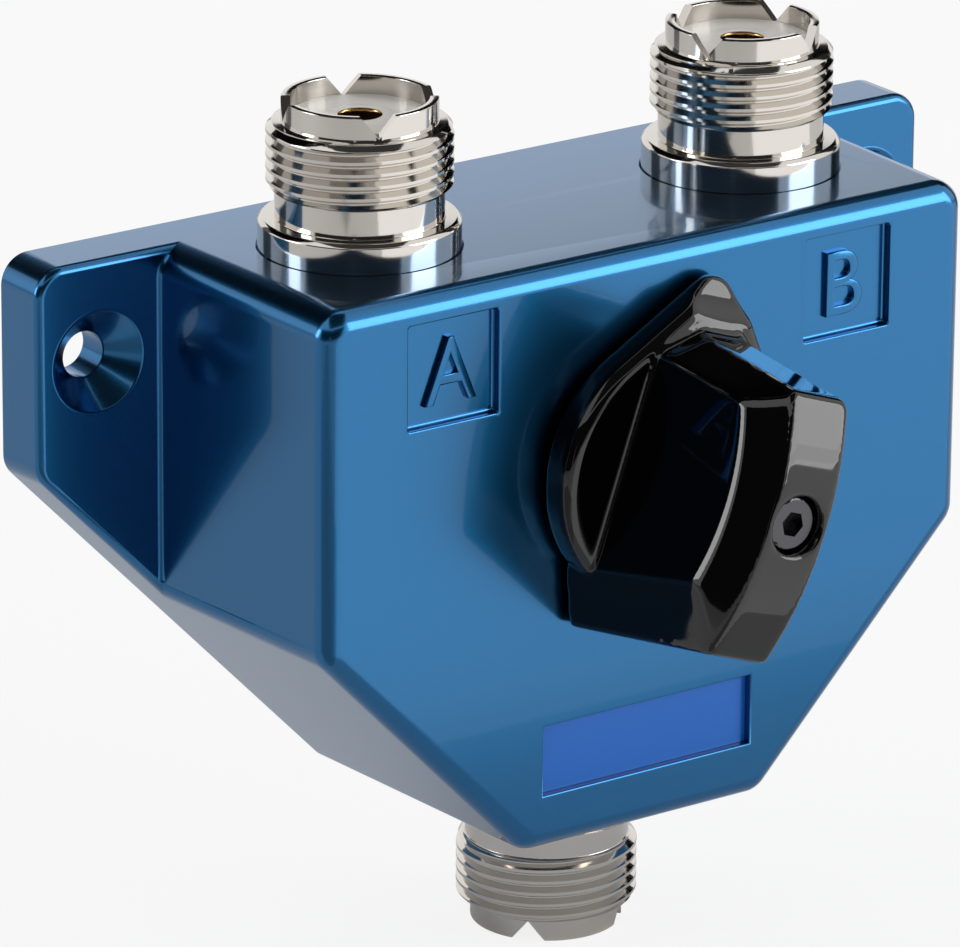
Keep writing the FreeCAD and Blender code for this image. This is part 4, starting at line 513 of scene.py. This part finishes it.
class SWITCH_OT_letters(bpy.types.Operator):
    """Cast letters A and B that mark the two upper sockets"""

    bl_idname = "switch.letters"
    bl_label = "Port letters"

    # the letters' squares in millimetres: from centre to centre, below the housing's top, depth
    # and width
    square_spacing = 41.4
    square_drop = 7.0
    square_recess = 0.85
    square_size = 9.3
    # their lining: how far it lies off the casting, its radii, the flange round it, its wall, and
    # how far the flange stands off the housing's face
    skin = 0.03
    corner_radius = 0.4
    foot_radius = 0.25
    rim_radius = 0.15
    flange = 0.35
    wall = 0.06
    proud = 0.004
    # each letter, the side it is on, and its width in millimetres
    letters = (("A", -1, 5.3), ("B", 1, 3.9))
    # in the letter's own size: half thickness, rounding of its edges, and how much thinner the
    # strokes are drawn; and the distance below which its points are one
    half_thickness = 0.03
    edge_rounding = 0.018
    stroke_change = -0.01
    text_merge = 0.0005
    letter_smooth = math.radians(40)

    def seat(self, name, across):
        """The smooth lacquered lining of a letter's square: rounded corners, foot and rim."""
        def at_rim(place):
            return place.z > -DRAWN_MERGE

        bpy.ops.object.select_all(action="DESELECT")
        bpy.ops.mesh.primitive_plane_add(size=(self.square_size - 2 * self.skin) * MM)
        piece = bpy.context.view_layer.objects.active
        piece.name = f"{name}_seat"
        bpy.ops.object.mode_set(mode="EDIT")
        bpy.ops.mesh.select_all(action="SELECT")
        bpy.ops.mesh.bevel(affect="VERTICES", offset=self.corner_radius * MM, segments=5)
        bpy.ops.mesh.select_all(action="SELECT")
        bpy.ops.mesh.extrude_region_move(
            TRANSFORM_OT_translate={"value": (0, 0, (self.skin - self.square_recess) * MM)})
        bpy.ops.mesh.select_mode(type="EDGE")
        bpy.ops.mesh.region_to_loop()
        bpy.ops.mesh.bevel(offset=self.foot_radius * MM, segments=4)
        bpy.ops.object.mode_set(mode="OBJECT")
        edit(piece, at_rim)
        bpy.ops.mesh.delete(type="ONLY_FACE")
        bpy.ops.object.mode_set(mode="OBJECT")
        edit(piece, at_rim)
        bpy.ops.mesh.select_mode(type="EDGE")
        bpy.ops.mesh.extrude_edges_move()
        rim = 1 + 2 * self.flange / self.square_size
        bpy.ops.transform.resize(value=(rim, rim, 1), center_override=(0, 0, 0))
        bpy.ops.mesh.select_mode(type="VERT")
        bpy.ops.object.mode_set(mode="OBJECT")
        inner = (self.square_size / 2 - self.skin + 0.01) * MM
        edit(piece, lambda place: at_rim(place) and max(abs(place.x), abs(place.y)) < inner)
        bpy.ops.mesh.select_mode(type="EDGE")
        bpy.ops.mesh.bevel(offset=self.rim_radius * MM, segments=3)
        bpy.ops.mesh.select_mode(type="VERT")
        bpy.ops.mesh.select_all(action="SELECT")
        bpy.ops.mesh.normals_make_consistent(inside=False)
        bpy.ops.object.mode_set(mode="OBJECT")
        if max(piece.data.polygons, key=lambda face: face.area).normal.z < 0:
            piece.data.flip_normals()
        apply_modifier(piece, "SOLIDIFY", "thickness", thickness=self.wall * MM, offset=-1)
        piece.rotation_euler = (math.pi / 2, 0, 0)
        middle = (across, KNOB_AXIS[1] - self.proud, HOUSING_TOP - self.square_drop)
        piece.location = Vector(middle) * MM
        place_in_mesh(piece)
        return piece

    def execute(self, context):
        settings = context.scene.switch_housing
        finish = bpy.data.materials["metallic_lacquer"]
        floor = KNOB_AXIS[1] + self.square_recess - self.skin
        for name, side, width in self.letters:
            across = side * self.square_spacing / 2
            bpy.ops.object.select_all(action="DESELECT")
            bpy.ops.object.text_add()
            letter = bpy.context.view_layer.objects.active
            letter.data.body = name
            letter.data.extrude = self.half_thickness
            # the strokes narrow a little towards their rounded tops, as cast letters do
            letter.data.bevel_depth = self.edge_rounding
            letter.data.bevel_resolution = 2
            letter.data.offset = self.stroke_change
            bpy.ops.object.convert(target="MESH")
            letter.name = f"letter_{name.lower()}"
            bpy.ops.object.mode_set(mode="EDIT")
            bpy.ops.mesh.select_all(action="SELECT")
            bpy.ops.mesh.remove_doubles(threshold=self.text_merge)
            bpy.ops.mesh.normals_make_consistent(inside=False)
            bpy.ops.object.mode_set(mode="OBJECT")
            bpy.context.view_layer.update()
            wide, tall, thick = letter.dimensions
            middle = (Vector(letter.bound_box[0]) + Vector(letter.bound_box[6])) / 2
            scales = Matrix.Diagonal((width * MM / wide, settings.letter_height / tall,
                                      2 * settings.letter_relief / thick, 1))
            stand = Matrix.Rotation(math.radians(90), 4, "X")
            spot = Vector((across, floor, HOUSING_TOP - self.square_drop)) * MM
            letter.matrix_world = (Matrix.Translation(spot) @ stand @ scales
                                   @ Matrix.Translation(-middle))
            place_in_mesh(letter)
            smooth(letter, self.letter_smooth, weight=90)
            seat = self.seat(letter.name, across)
            smooth(seat, weight=100)
            for piece in (letter, seat):
                dress(piece, finish)
                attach(piece, "body")
        return {"FINISHED"}


class SWITCH_OT_label(bpy.types.Operator):
    """Bare label plate in its recess"""

    bl_idname = "switch.label"
    bl_label = "Label plate"

    def execute(self, context):
        settings = context.scene.switch_housing
        # enamel printed on a thin plate: even, clear blue with a soft gloss
        enamel = plastic("printed_plate_enamel", settings.plate, roughness=0.22, grain=0.3,
                         depth=0.002)
        dress(frame["nodes"]["label_plate"], enamel)
        return {"FINISHED"}


class SWITCH_OT_sockets(bpy.types.Operator):
    """Socket shells with cut threads, their dielectric and centre contacts"""

    bl_idname = "switch.sockets"
    bl_label = "Sockets"

    # all in millimetres, with heights from the housing's face
    thread_radius = 15.875 / 2
    thread_start = 5.2
    thread_end = 11.0
    # flat at the thread's root, how far its cutter stands out past the crest, and how far below
    # the thread it starts
    root_flat = 0.1
    cutter_over = 0.4
    run_in = 1.2
    rim_top = 13.1
    notch_width = 3.0
    notch_depth = 1.8
    # half section of a shell from its bore outwards: stem, flange, neck, thread and rim
    section = (
        (4.6, -7.1), (6.9, -7.1), (6.9, -1.0), (8.65, -1.0), (8.65, 2.35), (8.3, 2.7), (7.2, 2.7),
        (7.2, 5.2), (7.4375, 5.2), (7.9375, 5.7), (7.9375, 10.5), (7.4375, 11.0), (6.65, 11.0),
        (6.65, 13.1), (5.85, 13.1), (5.85, -1.0), (4.6, -1.0))

    # the thin lip of the dielectric that stands over the end of the centre contact
    lip = ((1.9, 11.41), (2.9, 11.41), (2.9, 11.505), (1.9, 11.505))

    def thread_cutter(self, settings):
        """A helical cutter with the section of the gap between two threads."""
        depth = settings.thread_depth / MM
        root = self.thread_radius - depth
        outside = root + depth + self.cutter_over
        narrow = self.root_flat / 2
        # the flanks of the thread stand 60 degrees apart
        wide = narrow + (depth + self.cutter_over) * math.tan(math.radians(30))
        start = self.thread_start - self.run_in
        cutter = drawn_line("thread_cutter", (
            (root, start - narrow), (outside, start - wide), (outside, start + wide),
            (root, start + narrow), (root, start - narrow)))
        bpy.ops.object.mode_set(mode="EDIT")
        bpy.ops.mesh.select_all(action="SELECT")
        bpy.ops.mesh.remove_doubles(threshold=DRAWN_MERGE)
        bpy.ops.object.mode_set(mode="OBJECT")
        turns = math.ceil((self.thread_end - self.thread_start) * MM / settings.pitch) + 2
        apply_modifier(cutter, "SCREW", "helix", axis="Z", angle=math.tau,
                       screw_offset=settings.pitch, iterations=turns, steps=TURNING_STEPS,
                       render_steps=TURNING_STEPS, use_merge_vertices=False,
                       use_smooth_shade=False)
        bpy.ops.object.mode_set(mode="EDIT")
        bpy.ops.mesh.select_all(action="DESELECT")
        bpy.ops.mesh.select_non_manifold()
        bpy.ops.mesh.fill_holes(sides=4)
        bpy.ops.mesh.select_all(action="SELECT")
        bpy.ops.mesh.normals_make_consistent(inside=False)
        bpy.ops.object.mode_set(mode="OBJECT")
        return cutter

    def notch_cutter(self, turn):
        """A wedge that cuts two opposite notches into the rim, and stands a little above it."""
        above, length = 1.0, 20
        wide = self.notch_width * (self.notch_depth + above) / self.notch_depth
        bpy.ops.object.select_all(action="DESELECT")
        bpy.ops.mesh.primitive_cube_add(size=1)
        cutter = bpy.context.view_layer.objects.active
        edit(cutter, lambda place: place.z < 0)
        bpy.ops.transform.resize(value=(0, 1, 1))
        bpy.ops.mesh.select_all(action="SELECT")
        bpy.ops.mesh.remove_doubles(threshold=0.001)
        bpy.ops.transform.translate(value=(0, 0, 0.5))
        bpy.ops.transform.resize(
            value=(wide * MM, length * MM, (self.notch_depth + above) * MM),
            center_override=(0, 0, 0))
        bpy.ops.transform.translate(value=(0, 0, (self.rim_top - self.notch_depth) * MM))
        bpy.ops.mesh.normals_make_consistent(inside=False)
        bpy.ops.object.mode_set(mode="OBJECT")
        cutter.rotation_euler = (0, 0, turn)
        return cutter

    def shell(self, settings):
        """A threaded shell on its own axis, with zero on the housing's face."""
        piece = turned("socket_shell", self.section)
        for turn in (0, math.pi / 2):
            carve(piece, self.notch_cutter(turn))
        carve(piece, self.thread_cutter(settings))
        return piece

    def execute(self, context):
        settings = context.scene.switch_sockets
        # turned PTFE: waxy white with a soft sheen
        white = plastic("ptfe", settings.dielectric, roughness=0.35, grain=0.4)
        first = self.shell(settings)
        for name, across, height, stand, turn in SOCKETS:
            centre = (across, SOCKET_DEPTH, height)
            # bright nickel and gold on turned brass: mirrors with fine rings round the axis
            nickel = turned_metal(f"{name}_nickel_plate", settings.nickel, 0.09, centre)
            gold = turned_metal(f"{name}_gold_plate", settings.gold, 0.15, centre)
            only(first)
            bpy.ops.object.duplicate()
            shell = context.view_layer.objects.active
            shell.name = f"{name}_threaded_shell"
            shell.data.name = shell.name
            shell.rotation_euler = (math.radians(stand), 0, math.radians(turn))
            shell.location = Vector(centre) * MM
            place_in_mesh(shell)
            smooth(shell)
            dress(shell, nickel)
            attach(shell, "body")
            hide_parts(f"{name}_shell")
            lip = turned(f"{name}_lip", self.lip, rounding=0.03)
            lip.rotation_euler = (math.radians(stand), 0, 0)
            lip.location = Vector(centre) * MM
            place_in_mesh(lip)
            insulator = merged_copy(f"{name}_insulator", f"{name}_dielectric", "body")
            lip.select_set(True)
            bpy.ops.object.join()
            smooth(insulator)
            dress(insulator, white)
            contact = merged_copy(f"{name}_contact", f"{name}_centre_contact", "body")
            smooth(contact)
            dress(contact, gold)
        bpy.data.objects.remove(first)
        return {"FINISHED"}


class SWITCH_OT_knob(bpy.types.Operator):
    """Glossy bar knob and the cap screw that holds it"""

    bl_idname = "switch.knob"
    bl_label = "Knob"

    def execute(self, context):
        settings = context.scene.switch_knob
        knob = merged_copy("knob", "bar_knob", "rotor")
        # even faces, and then every edge drawn soft as a polished moulding has it
        apply_modifier(knob, "REMESH", "even_faces", mode="VOXEL", voxel_size=settings.softness,
                       adaptivity=0.0)
        apply_modifier(knob, "SMOOTH", "soft_edges", factor=0.5, iterations=22)
        only(knob)
        bpy.ops.object.shade_smooth()
        # moulded and polished phenolic: deep black with sharp reflections
        dress(knob, plastic("moulded_phenolic", settings.plastic, roughness=0.04, grain=0.8,
                            depth=0.004, strength=0.03, ior=1.6))
        screw = merged_copy("knob_screw", "cap_screw", "rotor")
        smooth(screw)
        # black oxide on turned steel: a dark, satin sheen
        dress(screw, grained_metal("black_oxide_steel", settings.screw, 0.25, 0.1))
        return {"FINISHED"}


class SWITCH_OT_inside(bpy.types.Operator):
    """Back cover, its screws and the switching parts inside"""

    bl_idname = "switch.inside"
    bl_label = "Cover and inside"

    def execute(self, context):
        # each with its colour, roughness and grain in millimetres
        # rolled aluminium sheet: matt, with the long faint grain of the rolls
        sheet = grained_metal("rolled_aluminium", linear("#b9bcbf"), 0.32, 0.25, (0.05, 1.0, 1.0))
        # steel plated with zinc: cool grey, slightly cloudy
        zinc = grained_metal("zinc_plated_steel", linear("#a9adb2"), 0.25, 0.3)
        # rolled spring bronze plated with silver: warm white, satin
        silvered = grained_metal("silvered_bronze", linear("#cfc8ba"), 0.22, 0.2)
        # brass, headed and turned: yellow, the turned one a little brighter
        rivets = grained_metal("rivet_brass", linear("#c9a35a"), 0.25, 0.2)
        bush = grained_metal("turned_brass", linear("#c79a4b"), 0.22, 0.15)
        # steel that is ground, hardened in oil, or polished: from satin to dull to a mirror
        ground = grained_metal("ground_steel", linear("#9a9c9f"), 0.2, 0.1)
        spring = grained_metal("spring_steel", linear("#85878a"), 0.28, 0.15)
        polished = grained_metal("polished_steel", linear("#b4b6b9"), 0.08, 0.2)
        # nickel on turned brass: warm grey and bright
        nickel = grained_metal("nickel_plate", linear("#c9c3b8"), 0.15, 0.2)
        white = bpy.data.materials["ptfe"]
        finishes = (
            (sheet, ("back_cover",)),
            (zinc, ("cover_screws", "detent_plate")),
            (silvered, ("port_a_fork", "port_b_fork", "common_fork", "rotor_blade",
                        "ground_wiper")),
            (rivets, ("fork_rivets", "blade_screws")),
            (bush, ("shaft_bush", "thrust_washer")),
            (ground, ("rotor_shaft", "stop_pin", "hub_pin")),
            (spring, ("retaining_ring", "detent_spring")),
            (polished, ("detent_ball",)),
            (nickel, ("port_nuts",)),
            (white, ("rotor_hub", "blade_clamp")),
        )
        for finish, names in finishes:
            for name in names:
                dress(frame["nodes"][name], finish)
        return {"FINISHED"}


# ---------------------------------------------------------------- stage


def direction(azimuth, elevation):
    """The way towards a bearing round the object, zero in front, and a height, in degrees."""
    turn, lift = math.radians(azimuth), math.radians(elevation)
    level = math.cos(lift)
    return Vector((math.sin(turn) * level, -math.cos(turn) * level, math.sin(lift)))


class SWITCH_OT_stage(bpy.types.Operator):
    """Pale floor, white world, soft lamps and the camera"""

    bl_idname = "switch.stage"
    bl_label = "Stage"

    # what the lamps and cards stand round, in millimetres
    middle = (0, -15, -12)
    # where the camera stands: bearing and height in degrees, its turn about its own axis, the
    # point it looks at and the distance from it in millimetres, then its lens and sensor
    azimuth = -35.735
    elevation = 19.403
    roll = math.radians(0.414)
    aim = (-17.954, -28.9, -7.72)
    distance = 700.2
    focal_length = 314.01
    sensor = 36.0
    # the floor's side in metres, and the share of plain white that the camera sees in it
    floor_size = 6.0
    floor_white = 0.85

    def backdrop(self, context):
        """A white world that lights the object evenly, and a pale floor that keeps its shadow."""
        settings = context.scene.switch_stage
        world = bpy.data.worlds.new("white_studio")
        context.scene.world = world
        world.use_nodes = True
        tree = world.node_tree
        tree.nodes.clear()
        ray = add_node(tree, "ShaderNodeLightPath")
        seen = add_node(tree, "ShaderNodeMath",
                        links={0: ray.outputs["Is Camera Ray"], 1: ray.outputs["Is Glossy Ray"]},
                        operation="MAXIMUM")
        shown = add_node(tree, "ShaderNodeMath",
                         links={0: seen.outputs["Value"], 1: ray.outputs["Is Transmission Ray"]},
                         operation="MAXIMUM")
        light, white = (add_node(tree, "ShaderNodeBackground",
                                 {"Color": (1, 1, 1, 1), "Strength": strength})
                        for strength in (settings.daylight, 1.0))
        mix = add_node(tree, "ShaderNodeMixShader",
                       links={0: shown.outputs["Value"], 1: light.outputs[0], 2: white.outputs[0]})
        add_node(tree, "ShaderNodeOutputWorld", links={"Surface": mix.outputs[0]})

        bpy.ops.object.select_all(action="DESELECT")
        bpy.ops.mesh.primitive_plane_add(size=self.floor_size, location=(0, 0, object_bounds()[0].z))
        floor = context.view_layer.objects.active
        floor.name = "floor"
        material, tree = new_material("pale_floor")
        shader = add_node(tree, "ShaderNodeBsdfDiffuse", {"Color": opaque(settings.floor)})
        glow = add_node(tree, "ShaderNodeEmission", {"Color": (1, 1, 1, 1), "Strength": 1.0})
        ray = add_node(tree, "ShaderNodeLightPath")
        share = add_node(tree, "ShaderNodeMath", {1: self.floor_white},
                         {0: ray.outputs["Is Camera Ray"]}, operation="MULTIPLY")
        mix = add_node(tree, "ShaderNodeMixShader",
                       links={0: share.outputs["Value"], 1: shader.outputs[0], 2: glow.outputs[0]})
        add_node(tree, "ShaderNodeOutputMaterial", links={"Surface": mix.outputs[0]})
        dress(floor, material)
        floor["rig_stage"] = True

    def lamps(self, context):
        """A softbox low in front, a weaker one on the left and a rim light behind."""
        # bearing and height in degrees, then reach, width and height in metres, and watts
        for name, azimuth, elevation, reach, width, height, power in (
                ("key_softbox", 41, 14, 0.6, 0.36, 0.42, 1.75),
                ("left_softbox", -114, 14, 0.6, 0.2, 0.2, 0.5),
                ("rim_softbox", 150, 48, 0.6, 0.3, 0.3, 0.5)):
            back = direction(azimuth, elevation)
            bpy.ops.object.light_add(type="AREA", location=Vector(self.middle) * MM + back * reach)
            lamp = context.view_layer.objects.active
            lamp.name = name
            lamp.data.shape = "RECTANGLE"
            lamp.data.size = width
            lamp.data.size_y = height
            lamp.data.energy = power
            lamp.rotation_mode = "QUATERNION"
            lamp.rotation_quaternion = back.to_track_quat("Z", "Y")

    def card(self, name, material, centre, azimuth, elevation, width, height):
        """A flat card that faces the object and that only reflections show."""
        bpy.ops.object.select_all(action="DESELECT")
        bpy.ops.mesh.primitive_plane_add(size=1)
        card = bpy.context.view_layer.objects.active
        card.name = name
        card.scale = (width, height, 1)
        card.rotation_mode = "QUATERNION"
        card.rotation_quaternion = direction(azimuth, elevation).to_track_quat("Z", "Y")
        card.location = centre
        place_in_mesh(card)
        for ray in ("camera", "diffuse", "transmission", "volume_scatter", "shadow"):
            setattr(card, f"visible_{ray}", False)
        dress(card, material)
        card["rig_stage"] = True

    def cards(self):
        """Dark and light cards that give metal and gloss their contrast."""
        cloths = {}
        for name, tone, strength in (
                ("flag_cloth", "#282828", 1.0), ("black_cloth", "#080808", 1.0),
                ("white_card", "#ffffff", 1.14), ("grey_cloth", "#959595", 1.0),
                ("dull_cloth", "#606060", 1.0), ("dark_cloth", "#3c3c3c", 1.0)):
            material, tree = new_material(name)
            glow = add_node(tree, "ShaderNodeEmission",
                            {"Color": opaque(linear(tone)), "Strength": strength})
            add_node(tree, "ShaderNodeOutputMaterial", links={"Surface": glow.outputs[0]})
            cloths[name] = material
        # cards that stand round the object: bearing and height in degrees, then reach, width
        # and height in metres
        for name, cloth, azimuth, elevation, reach, width, height in (
                ("left_flag", "dull_cloth", -156, 25, 0.22, 0.07, 0.34),
                ("right_flag", "flag_cloth", 98, 25, 0.22, 0.05, 0.34),
                ("front_flag", "flag_cloth", -17, 15, 0.5, 0.48, 0.3),
                ("corner_flag", "flag_cloth", -70, 15, 0.5, 0.48, 0.3),
                ("overhead_flag", "dark_cloth", -22, 70, 0.45, 0.46, 0.56)):
            centre = Vector(self.middle) * MM + direction(azimuth, elevation) * reach
            self.card(name, cloths[cloth], centre, azimuth, elevation, width, height)
        # cards that lie a millimetre above the floor or hang behind: centre in millimetres,
        # the bearing and height they face, then width and height in metres
        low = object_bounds()[0].z / MM + 1
        for name, cloth, centre, azimuth, elevation, width, height in (
                ("front_reflector", "white_card", (240, -330, low), 0, 90, 0.6, 0.5),
                ("left_floor_flag", "grey_cloth", (-120, -95, low), 0, 90, 0.16, 0.12),
                ("back_flag", "black_cloth", (80, 100, 204), 180, 0, 0.6, 0.28)):
            self.card(name, cloths[cloth], Vector(centre) * MM, azimuth, elevation, width,
                      height)

    def camera(self, context):
        """The camera, placed by its bearing, height and distance and turned a little."""
        back = direction(self.azimuth, self.elevation)
        bearing = math.radians(self.azimuth)
        level = Vector((math.cos(bearing), math.sin(bearing), 0))
        upright = back.cross(level)
        right = level * math.cos(self.roll) + upright * math.sin(self.roll)
        up = upright * math.cos(self.roll) - level * math.sin(self.roll)
        spot = (Vector(self.aim) + back * self.distance) * MM
        bpy.ops.object.camera_add()
        camera = context.view_layer.objects.active
        camera.name = "camera"
        camera.data.lens = self.focal_length
        camera.data.sensor_width = self.sensor
        camera.data.clip_start = 0.05
        camera.data.clip_end = 20.0
        facing = Matrix((right, up, back)).transposed().to_4x4()
        camera.matrix_world = Matrix.Translation(spot) @ facing
        context.scene.camera = camera

    def execute(self, context):
        self.backdrop(context)
        self.lamps(context)
        self.cards()
        self.camera(context)
        context.scene.view_settings.view_transform = "Standard"
        return {"FINISHED"}


# ---------------------------------------------------------------- panel and registration


class SWITCH_PT_panel(bpy.types.Panel):
    """Lists the settings and the steps that make the antenna switch"""

    bl_idname = "SWITCH_PT_panel"
    bl_label = "Antenna Switch"
    bl_space_type = "VIEW_3D"
    bl_region_type = "UI"
    bl_category = "Antenna Switch"

    def draw(self, context):
        layout = self.layout
        for name in SETTINGS:
            box = layout.box()
            group = getattr(context.scene, name)
            for setting in group.bl_rna.properties.keys():
                if setting not in ("rna_type", "name"):
                    box.prop(group, setting)
        for operator in OPERATORS:
            layout.operator(operator.bl_idname)


SETTINGS = {
    "switch_housing": HousingSettings,
    "switch_sockets": SocketSettings,
    "switch_knob": KnobSettings,
    "switch_stage": StageSettings,
}
OPERATORS = (
    SWITCH_OT_housing,
    SWITCH_OT_letters,
    SWITCH_OT_label,
    SWITCH_OT_sockets,
    SWITCH_OT_knob,
    SWITCH_OT_inside,
    SWITCH_OT_stage,
)


def register():
    for group in SETTINGS.values():
        bpy.utils.register_class(group)
    for operator in OPERATORS:
        bpy.utils.register_class(operator)
    bpy.utils.register_class(SWITCH_PT_panel)
    for name, group in SETTINGS.items():
        setattr(bpy.types.Scene, name, bpy.props.PointerProperty(type=group))


def unregister():
    for name in SETTINGS:
        delattr(bpy.types.Scene, name)
    bpy.utils.unregister_class(SWITCH_PT_panel)
    for operator in reversed(OPERATORS):
        bpy.utils.unregister_class(operator)
    for group in reversed(SETTINGS.values()):
        bpy.utils.unregister_class(group)


def main():
    """Make every piece and the stage."""
    register()
    bpy.ops.switch.housing()
    bpy.ops.switch.letters()
    bpy.ops.switch.label()
    bpy.ops.switch.sockets()
    bpy.ops.switch.knob()
    bpy.ops.switch.inside()
    bpy.ops.switch.stage()


if __name__ == "__main__":
    main()
